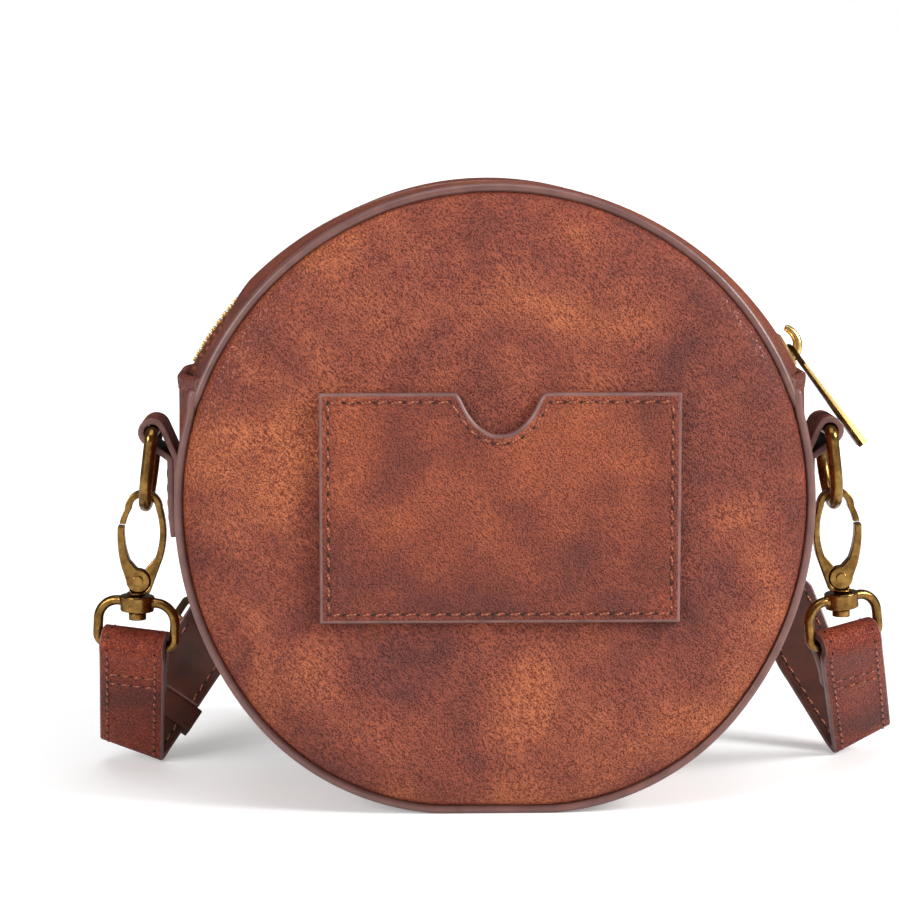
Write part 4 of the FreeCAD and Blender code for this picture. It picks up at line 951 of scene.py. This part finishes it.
for face in pocket.data.polygons:
    middle = face.center / MM
    face.material_index = 2 if pocket_edge_distance(middle.x, middle.z) < PAINT_WIDTH else 0
give_depth(pocket, POCKET_INSIDE)
smooth_shaded(pocket, 60)
settle(pocket, "bag", "brown_leather", "card_pocket")

# %% Pocket seam
POCKET_PITCH = 4.3
SEAM_Y = POCKET_FACE_Y + SEAM_GROOVE / 2
seam_left = pocket_low.x + SEAM_IN
seam_right = pocket_high.x - SEAM_IN
seam_top = pocket_high.z - SEAM_IN
seam_bottom = pocket_low.z + SEAM_IN
ahead = np.gradient(notch_line, axis=0)
away = np.stack([ahead[:, 1], -ahead[:, 0]], axis=1) / lengths(ahead)[:, None]
notch_seam = [(x, z) for x, z in notch_line + away * SEAM_IN if pocket_edge_distance(x, z) > SEAM_IN - 0.1]
pocket_lines = (
    [(seam_left, seam_top), (seam_left, seam_bottom)],
    [(seam_left, seam_bottom), (seam_right, seam_bottom)],
    [(seam_right, seam_bottom), (seam_right, seam_top)],
    [(seam_left, seam_top)] + notch_seam + [(seam_right, seam_top)],
)
pocket_lines = [[(x, SEAM_Y, z) for x, z in line] for line in pocket_lines]
sew("pocket_seam", pocket_lines, [(0, -1, 0)] * len(pocket_lines), POCKET_PITCH)

# %% [markdown]
# Each ring tab is a strip folded round the ring's bar and sewn flat to the gusset. Its middle line runs up
# from the foot, leans out, goes round the bar and comes back down over itself.

# %% Ring tabs
TAB_LEATHER = 1.85
TAB_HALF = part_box("ring_tab_right")[1].y / MM
TAB_FOOT_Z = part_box("ring_tab_right")[0].z / MM
TAB_COLUMNS = 7
TAB_SEAM_IN = 2.4
LOOP_X = JOINT["ring_right_swing"]["pos_m"][0] / MM
LOOP_Z = JOINT["ring_right_swing"]["pos_m"][2] / MM
LOOP_MIDDLE = 3.28
LOOP_STEPS = 25
LEAN_BELOW_LOOP = 8.0
LEAN_Z = LOOP_Z - LEAN_BELOW_LOOP
FACE_GAP = 0.2


def tab_leg(layer):
    offset = FACE_GAP + (layer + 0.5) * TAB_LEATHER
    low = np.linspace(TAB_FOOT_Z, CENTRE_Z, 9)
    curved = [(math.sqrt((SIDE_RADIUS + offset) ** 2 - (z - CENTRE_Z) ** 2) - SIDE_FULLNESS, z) for z in low]
    return curved + [(RIM + offset, z) for z in np.linspace(CENTRE_Z, LEAN_Z, 6)[1:]]


def tab_tangent(start, way):
    """The angle at which the leather meets the loop, on its upper side for 1, its lower for -1."""
    run = math.hypot(LOOP_X - start[0], LOOP_Z - start[1])
    heading = math.atan2(LOOP_Z - start[1], LOOP_X - start[0])
    return heading + way * (math.asin(LOOP_MIDDLE / run) + math.pi / 2)


def tab_line():
    inside = tab_leg(0)
    outside = tab_leg(1)
    first = tab_tangent(inside[-1], 1)
    last = tab_tangent(outside[-1], -1)
    over = arc(LOOP_X, LOOP_Z, LOOP_MIDDLE, first, last, LOOP_STEPS)
    return inside + [tuple(p) for p in over] + outside[::-1]


def build_tab(name, side, node):
    widths = np.linspace(-TAB_HALF, TAB_HALF, TAB_COLUMNS)
    rows = [[(side * x, y, z) for y in widths] for x, z in tab_line()]
    tab = sheet(name, rows, (0, 0, 1), BAND_FINISH)
    thicken(tab, TAB_LEATHER, CUT_ROUND, offset=0.0)
    settle(tab, "bag", "brown_leather", node)


def sew_tab(name, side):
    leg = [(x, z) for x, z in tab_leg(1) if TAB_FOOT_Z + TAB_SEAM_IN < z < LEAN_Z - 1]
    leg = [(side * (x + TAB_LEATHER / 2), z) for x, z in leg]
    edge = TAB_HALF - TAB_SEAM_IN
    sides = [[(x, y, z) for x, z in leg] for y in (-edge, edge)]
    rows = [[(x, -edge, z), (x, edge, z)] for x, z in (leg[0], leg[-1])]
    sew(name, sides + rows, [(side, 0, 0)] * 4)


for side, end in ENDS:
    build_tab("tab_" + end, side, "ring_tab_" + end)
for side, end in ENDS:
    sew_tab("tab_seam_" + end, side)

# %% [markdown]
# The strap is a flat band two layers thick. Its route is the frame's own: the four long edges of the
# packed strap give a straight line across it at every station, and a grid is laid smoothly over these.

# %% The strap's long edges
STRAP_THICKNESS = 2.6
EDGE_SHARPNESS = math.radians(50)
SLACK = 0.1
WELD = 0.002


def merged_copy(node, name):
    """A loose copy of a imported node, with the corners of its triangles joined up."""
    copy = bpy.data.objects.new(name, frame["nodes"][node].data.copy())
    bpy.context.collection.objects.link(copy)
    with editing(copy):
        bpy.ops.mesh.remove_doubles(threshold=WELD * MM)
    return copy


def sharp_neighbours(piece):
    with editing(piece):
        bpy.ops.mesh.select_all(action="DESELECT")
        bpy.ops.mesh.select_mode(type="EDGE")
        bpy.ops.mesh.edges_select_sharp(sharpness=EDGE_SHARPNESS)
    near = {}
    for edge in piece.data.edges:
        if edge.select:
            for a, b in (edge.vertices, reversed(edge.vertices)):
                near.setdefault(a, []).append(b)
    return near


def long_edges(node):
    """The four long edges of a packed strap from each end, each a list of points."""
    copy = merged_copy(node, node + "_copy")
    near = sharp_neighbours(copy)
    points = points_of(copy)
    bpy.data.objects.remove(copy)
    corners = set()
    for here, others in near.items():
        gaps = sorted(lengths(points[other] - points[here]) for other in others)
        if len(others) == 3 and abs(gaps[0] - STRAP_THICKNESS) < SLACK and gaps[2] > 5 * STRAP_THICKNESS:
            corners.add(here)
    rails = []
    for corner in sorted(corners):
        rail = [corner, next(other for other in near[corner] if other not in corners)]
        while rail[-1] not in corners:
            ahead = points[rail[-1]] - points[rail[-2]]
            onward = [other for other in near[rail[-1]] if other != rail[-2]]
            ways = points[onward] - points[rail[-1]]
            rail.append(onward[np.argmax(ways @ ahead / lengths(ways))])
        rails.append(points[rail])
    return rails


def between(edge, other):
    """The middle of two long edges, wherever a corner of one has its partner on the other."""
    apart = lengths(edge[:, None] - other[None])
    paired = abs(apart.min(axis=1) - STRAP_THICKNESS) < SLACK / 5
    return (edge[paired] + other[apart.argmin(axis=1)[paired]]) / 2


def middle_rails(node, side):
    """The strap's two side lines at mid thickness, from the end that lies furthest to one side."""
    rails = sorted(long_edges(node), key=lambda rail: -side * (rail[0][0] - rail[-1][0]))
    first, *others = rails[:4]
    others.sort(key=lambda rail: lengths(rail[0] - first[0]))
    return between(first, others[0]), between(others[1], others[2])


# %% A smooth grid along the strap
STRAP_SUBSTEPS = 4
ROW_STEP = 2.5
STRAP_COLUMNS = 9
STRAP_EDGE_ROUND = 0.55


def rows_between(stations):
    """Places along the strap, closest where it turns and its stations lie close together."""
    rows = []
    for here, there in zip(stations, stations[1:]):
        count = max(STRAP_SUBSTEPS, math.ceil((there - here) / ROW_STEP))
        rows.append(np.linspace(here, there, count, endpoint=False))
    return np.append(np.concatenate(rows), stations[-1])


def eased(line, stations, places):
    """A smooth curve through the points of a line, which it passes at their own stations."""
    before = np.maximum(np.arange(len(line)) - 1, 0)
    after = np.minimum(np.arange(len(line)) + 1, len(line) - 1)
    slopes = (line[after] - line[before]) / (stations[after] - stations[before])[:, None]
    k = np.clip(np.searchsorted(stations, places, side="right") - 1, 0, len(line) - 2)
    span = (stations[k + 1] - stations[k])[:, None]
    t = (places - stations[k])[:, None] / span
    start = (1 + 2 * t) * (1 - t) ** 2 * line[k] + t * (1 - t) ** 2 * span * slopes[k]
    end = t * t * (3 - 2 * t) * line[k + 1] + t * t * (t - 1) * span * slopes[k + 1]
    return start + end


def build_strap(name, node, side):
    """The strap, and the two side lines that it was laid on."""
    left, right = middle_rails(node, side)
    stations = run_along((left + right) / 2)
    places = rows_between(stations)
    left, right = (eased(rail, stations, places) for rail in (left, right))
    shares = np.linspace(0, 1, STRAP_COLUMNS)
    rows = [[a + (b - a) * share for share in shares] for a, b in zip(left, right)]
    strap = sheet(name, rows, (0, -1, 0), (STRAP_LEATHER, SPLIT_LEATHER, EDGE_PAINT_AND_HIGHLIGHT))
    thicken(strap, STRAP_THICKNESS, STRAP_EDGE_ROUND, offset=0.0)
    settle(strap, "bag", "brown_leather", node)
    return left, right


# %% Straps and their seams
STRAP_SEAM_IN = 2.6
STRAP_PITCH = 3.9
FOLD_WITHIN = 50.0
TAIL_RUN = 30.0


def outer_ways(left, right):
    """Off the strap's outer face at each station: towards the camera where it comes over its eye."""
    middle = (left + right) / 2
    ways = np.cross(right - left, np.gradient(middle, axis=0))
    ways /= lengths(ways)[:, None]
    return ways if ways[middle[:, 1].argmin()][1] < 0 else -ways


def sew_strap(name, left, right, cross_rows):
    """Rows along both edges of each face, and rows across the outer face below its fold."""
    ways = outer_ways(left, right)
    across = right - left
    across /= lengths(across)[:, None]
    lift = ways * STRAP_THICKNESS / 2
    near = left + across * STRAP_SEAM_IN
    far = right - across * STRAP_SEAM_IN
    run = run_along((left + right) / 2)
    fold = left[run < FOLD_WITHIN][:, 2].argmax()
    bars = [np.searchsorted(run, run[fold] + step) for step in cross_rows]
    rows = [np.array([near[k], far[k]]) + lift[k] for k in bars]
    outwards = [ways, ways] + [ways[k] for k in bars]
    sew(name + "_outer_seams", [near + lift, far + lift] + rows, outwards, STRAP_PITCH)
    sew(name + "_inner_seams", [near - lift, far - lift], [-ways, -ways], STRAP_PITCH)


def darken_tail(name, left, right):
    """The last stretch of the strap, round the buckle bar, takes the darker split leather on its outer face
    too.
    """
    middle = (left + right) / 2
    run = run_along(middle)
    for face in bpy.data.objects[name].data.polygons:
        station = lengths(middle - np.array(face.center) / MM).argmin()
        if face.material_index == 0 and run[-1] - run[station] < TAIL_RUN:
            face.material_index = 1


short_lines = build_strap("strap_buckle_end", "strap_short", -1)
sew_strap("buckle_end", *short_lines, (16.0, 22.0))
darken_tail("strap_buckle_end", *short_lines)
long_lines = build_strap("strap_main", "strap_long", 1)
sew_strap("main", *long_lines, (20.0, 26.5))

# %% [markdown]
# The rings, hooks, gates and eyes are cast and tumbled, so no edge on them is sharp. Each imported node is
# copied, remeshed with small voxels and smoothed, which rounds every edge by a few tenths of a millimetre.

# %% Cast hardware
def cast(node, body, name, voxel=0.26, passes=8):
    piece = merged_copy(node, name)
    apply_modifier(piece, "REMESH", mode="VOXEL", voxel_size=voxel * MM, use_smooth_shade=True)
    apply_modifier(piece, "SMOOTH", factor=0.5, iterations=passes)
    dress(piece, ANTIQUE_BRASS)
    smooth_shaded(piece, 60)
    settle(piece, body, "antique_brass", node)


for side in ("left", "right"):
    cast("ring_" + side, "ring_" + side, "link_" + side, 0.32)
    cast("hook_body_" + side, "hook_" + side, "clip_" + side, 0.22, 6)
    cast("hook_gate_" + side, "hook_gate_" + side, "gate_" + side, 0.18, 4)
    cast("swivel_eye_" + side, "swivel_eye_" + side, "eye_" + side)
    cast("gate_rivet_" + side, "hook_" + side, "rivet_" + side, 0.14, 4)
cast("buckle_frame", "bag", "buckle_loop")
cast("buckle_prong", "buckle_prong", "buckle_tongue", 0.16, 4)

# %% [markdown]
# Zip teeth are stamped beads with rounded edges. The pull is a die-cast bar: it is cut along its middle
# plane so that its upper half can be drawn in to a chamfered top. Faces looking up or towards its far end
# keep the bright brass, and its sides and underside take a dark brass as painted shade. The slider has an
# open hook that the pull hangs in.

# %% Zip teeth
FLAT_ANGLE = math.radians(1)
TOOTH_ROUND = 0.42


def rounded(node, name, width, material, slot, shade):
    """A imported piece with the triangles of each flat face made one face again, and its edges rounded."""
    piece = merged_copy(node, name)
    with editing(piece):
        bpy.ops.mesh.dissolve_limited(angle_limit=FLAT_ANGLE)
    bevel(piece, width, 3, 40)
    dress(piece, material)
    smooth_shaded(piece, shade)
    settle(piece, "bag", slot, node)


for _, side_name, node in SIDES:
    rounded("zip_teeth_" + node, "teeth_" + side_name, TOOTH_ROUND, ZIP_BRASS, "zip_brass", 35)

# %% Pull
PULL_PIVOT = Vector(JOINT["zip_pull_swing"]["pos_m"]) / MM
PULL_FAR_SHARE = 0.95
PULL_NECK = 6.5
PULL_TOP_RISE = 0.2
PULL_TOP_SHARE = 0.6
PULL_ROUND = 0.15
LOOKS_UP = 0.2
LOOKS_AHEAD = 0.7

pull = merged_copy("pull_tab", "pull_bar")
reach = lengths(points_of(pull) - np.array(PULL_PIVOT))
far_end = points_of(pull)[reach > PULL_FAR_SHARE * reach.max()].mean(axis=0)
pull_ahead = (Vector((far_end[0], 0, far_end[2])) - PULL_PIVOT).normalized()
pull_up = Vector((-pull_ahead.z, 0, pull_ahead.x))
with editing(pull):
    bpy.ops.mesh.dissolve_limited(angle_limit=FLAT_ANGLE)
    bpy.ops.mesh.select_all(action="SELECT")
    bpy.ops.mesh.bisect(plane_co=PULL_PIVOT * MM, plane_no=pull_up)
pull_points = []
for x, y, z in points_of(pull):
    spot = Vector((x, 0, z)) - PULL_PIVOT
    narrowed = spot.dot(pull_up) > PULL_TOP_RISE and spot.dot(pull_ahead) > PULL_NECK
    pull_points.append((x, y * PULL_TOP_SHARE if narrowed else y, z))
lay_points(pull, pull_points)
bevel(pull, PULL_ROUND, 2, 25)
dress(pull, ZIP_BRASS, PULL_SHADE_BRASS)
# Faces that look up or ahead keep the bright brass; the rest take the dark brass as painted shade.
for face in pull.data.polygons:
    catches_light = face.normal.dot(pull_up) > LOOKS_UP or face.normal.dot(pull_ahead) > LOOKS_AHEAD
    face.material_index = 0 if catches_light else 1
smooth_shaded(pull, 30)
settle(pull, "zip_pull", "zip_brass", "pull_tab")

# %% Slider with its open hook
SLIDER_RISE = 2.25
SLIDER_TOP = TAPE_RADIUS + SLIDER_RISE
SLIDER_ROUND = 0.25
SLIDER_TURN = math.atan2(PULL_PIVOT.x, PULL_PIVOT.z - ZIP_AXIS_Z)
HOOK_LINE = ((3.0, 102.3), (3.0, 103.4), (2.3, 104.7), (1.0, 105.9), (-0.9, 106.6), (-3.1, 106.6),
             (-4.9, 105.9), (-5.7, 105.2))
HOOK_SHARES = (1.3, 1.25, 1.2, 1.15, 1.1, 1.0, 0.9, 0.75)
HOOK_WIRE = 1.3


def at_slider(along, out):
    """A point beside the slider: along the zip towards its right end, and out from the zip's axis."""
    x = along * math.cos(SLIDER_TURN) + out * math.sin(SLIDER_TURN)
    z = out * math.cos(SLIDER_TURN) - along * math.sin(SLIDER_TURN)
    return Vector((x, 0, ZIP_AXIS_Z + z))


slider = merged_copy("slider_body", "slider_plates")
with editing(slider):
    bpy.ops.mesh.bisect(plane_co=at_slider(0, SLIDER_TOP) * MM, plane_no=at_slider(0, 1) - at_slider(0, 0),
                        use_fill=True, clear_outer=True)
bevel(slider, SLIDER_ROUND, 2, 50)
dress(slider, ZIP_BRASS)
smooth_shaded(slider, 35)
settle(slider, "zip_slider", "zip_brass", "slider_body")
hook = wire("slider_hook", [at_slider(*spot) for spot in HOOK_LINE], HOOK_WIRE, HOOK_SHARES)
apply_modifier(hook, "SUBSURF", levels=1, render_levels=1)
dress(hook, ZIP_BRASS)
settle(hook, "zip_slider", "zip_brass")

# %% [markdown]
# What lies inside keeps the frame's shape and only gets its material: boards behind the faces, the cotton
# lining and the flat springs behind the gates. The strap's keeper is a plain loop of split leather.

# %% Inner pieces and the strap's keeper
for material, nodes in ((STIFFENER_BOARD, ("front_stiffener", "back_stiffener")),
                        (LINING_TWILL, ("lining_front", "lining_back", "lining_gusset")),
                        (SPRING_STEEL, ("gate_spring_left", "gate_spring_right"))):
    for node in nodes:
        dress(frame["nodes"][node], material)
    print(material.name, "on", ", ".join(nodes))
rounded("strap_keeper", "keeper_loop", 0.5, SPLIT_LEATHER, "brown_leather", 50)

# %% [markdown]
# The picture is taken from a little above and a little to the left, from far enough away that the round
# face stays round. Two soft lamps at the sides and one overhead give the pale sheen on the rolled border.
# Floor and surround are white to the camera, and the surround is dim in reflections, as black screens beside
# a studio camera make it, so that the leather keeps its deep colour.

# %% Camera
FACE_MIDDLE = Vector((0, -36, 90.5))
CAMERA_DISTANCE = 800.0
CAMERA_RISE = math.radians(8)
CAMERA_LEFT = math.radians(2.5)
AIM_RIGHT = -13.2
AIM_UP = 15.8
LENS = 111.6


def looking(place, aim):
    """The rotation of a camera or lamp that looks from one point at another."""
    return (Vector(aim) - Vector(place)).to_track_quat("-Z", "Y").to_euler()


from_face = Vector((-math.sin(CAMERA_LEFT) * math.cos(CAMERA_RISE),
                    -math.cos(CAMERA_LEFT) * math.cos(CAMERA_RISE), math.sin(CAMERA_RISE)))
right_way = Vector((0, 0, 1)).cross(from_face).normalized()
up_way = from_face.cross(right_way)
camera_place = FACE_MIDDLE + from_face * CAMERA_DISTANCE
aim = FACE_MIDDLE + right_way * AIM_RIGHT + up_way * AIM_UP
bpy.ops.object.camera_add(location=camera_place * MM, rotation=looking(camera_place, aim))
camera = bpy.context.object
camera.data.lens = LENS
camera.data.clip_start = 0.05
bpy.context.scene.camera = camera
print("camera at", [round(v) for v in camera_place])

# %% Lamps and surround
BAG_MIDDLE = (0, 0, 0.09)
BAG_FOOT = (0, 0, 0.05)
SKY_SEEN = 1.0
SKY_LIGHT = 0.33
SKY_REFLECTED = 0.11


def softbox(name, place, aim_at, width, power):
    bpy.ops.object.light_add(type="AREA", location=place, rotation=looking(place, aim_at))
    lamp = named(name)
    lamp.data.size = width
    lamp.data.energy = power


softbox("left_softbox", (-0.85, -0.72, 0.50), BAG_MIDDLE, 0.45, 8.5)
softbox("right_softbox", (0.95, -0.40, 0.60), BAG_MIDDLE, 0.4, 14.0)
softbox("overhead_softbox", (0.0, -0.25, 1.3), BAG_FOOT, 1.0, 7.0)

bpy.context.scene.view_settings.view_transform = "Standard"
world = bpy.data.worlds.new("white_studio")
bpy.context.scene.world = world
world.use_nodes = True
sky = world.node_tree
seen = add(sky, "LightPath", "Is Camera Ray", {})
reflected = seen.node.outputs["Is Glossy Ray"]
light = add(sky, "MapRange", "Result", {"Value": seen, "To Min": SKY_LIGHT, "To Max": SKY_SEEN})
light = add(sky, "Math", "Value", {0: reflected, 1: SKY_REFLECTED - SKY_LIGHT, 2: light},
            operation="MULTIPLY_ADD")
feed(sky, sky.nodes["Background"], {"Strength": light, "Color": grey(1.0)})
print("lamps and surround")

# %% Floor
FLOOR_SIZE = 30.0
FLOOR_TONE = 0.85
GLOW_FROM = 0.2
GLOW_FULL = 0.9
LEAST_GLOW = 0.3

bpy.ops.mesh.primitive_plane_add(size=FLOOR_SIZE)
floor = named("floor")
floor_paint, tree, shader, place = new_material("white_floor")
seen = add(tree, "LightPath", "Is Camera Ray", {})
away = add(tree, "VectorMath", "Value", {0: place}, operation="LENGTH")
glow = add(tree, "MapRange", "Result", {
    "Value": away, "From Min": GLOW_FROM, "From Max": GLOW_FULL, "To Min": LEAST_GLOW})
lift = add(tree, "Math", "Value", {0: seen, 1: glow}, operation="MULTIPLY")
feed(tree, shader, {"Base Color": grey(FLOOR_TONE), "Roughness": 0.9, "Emission Color": grey(1.0),
                    "Emission Strength": lift})
dress(floor, floor_paint)
print("floor")
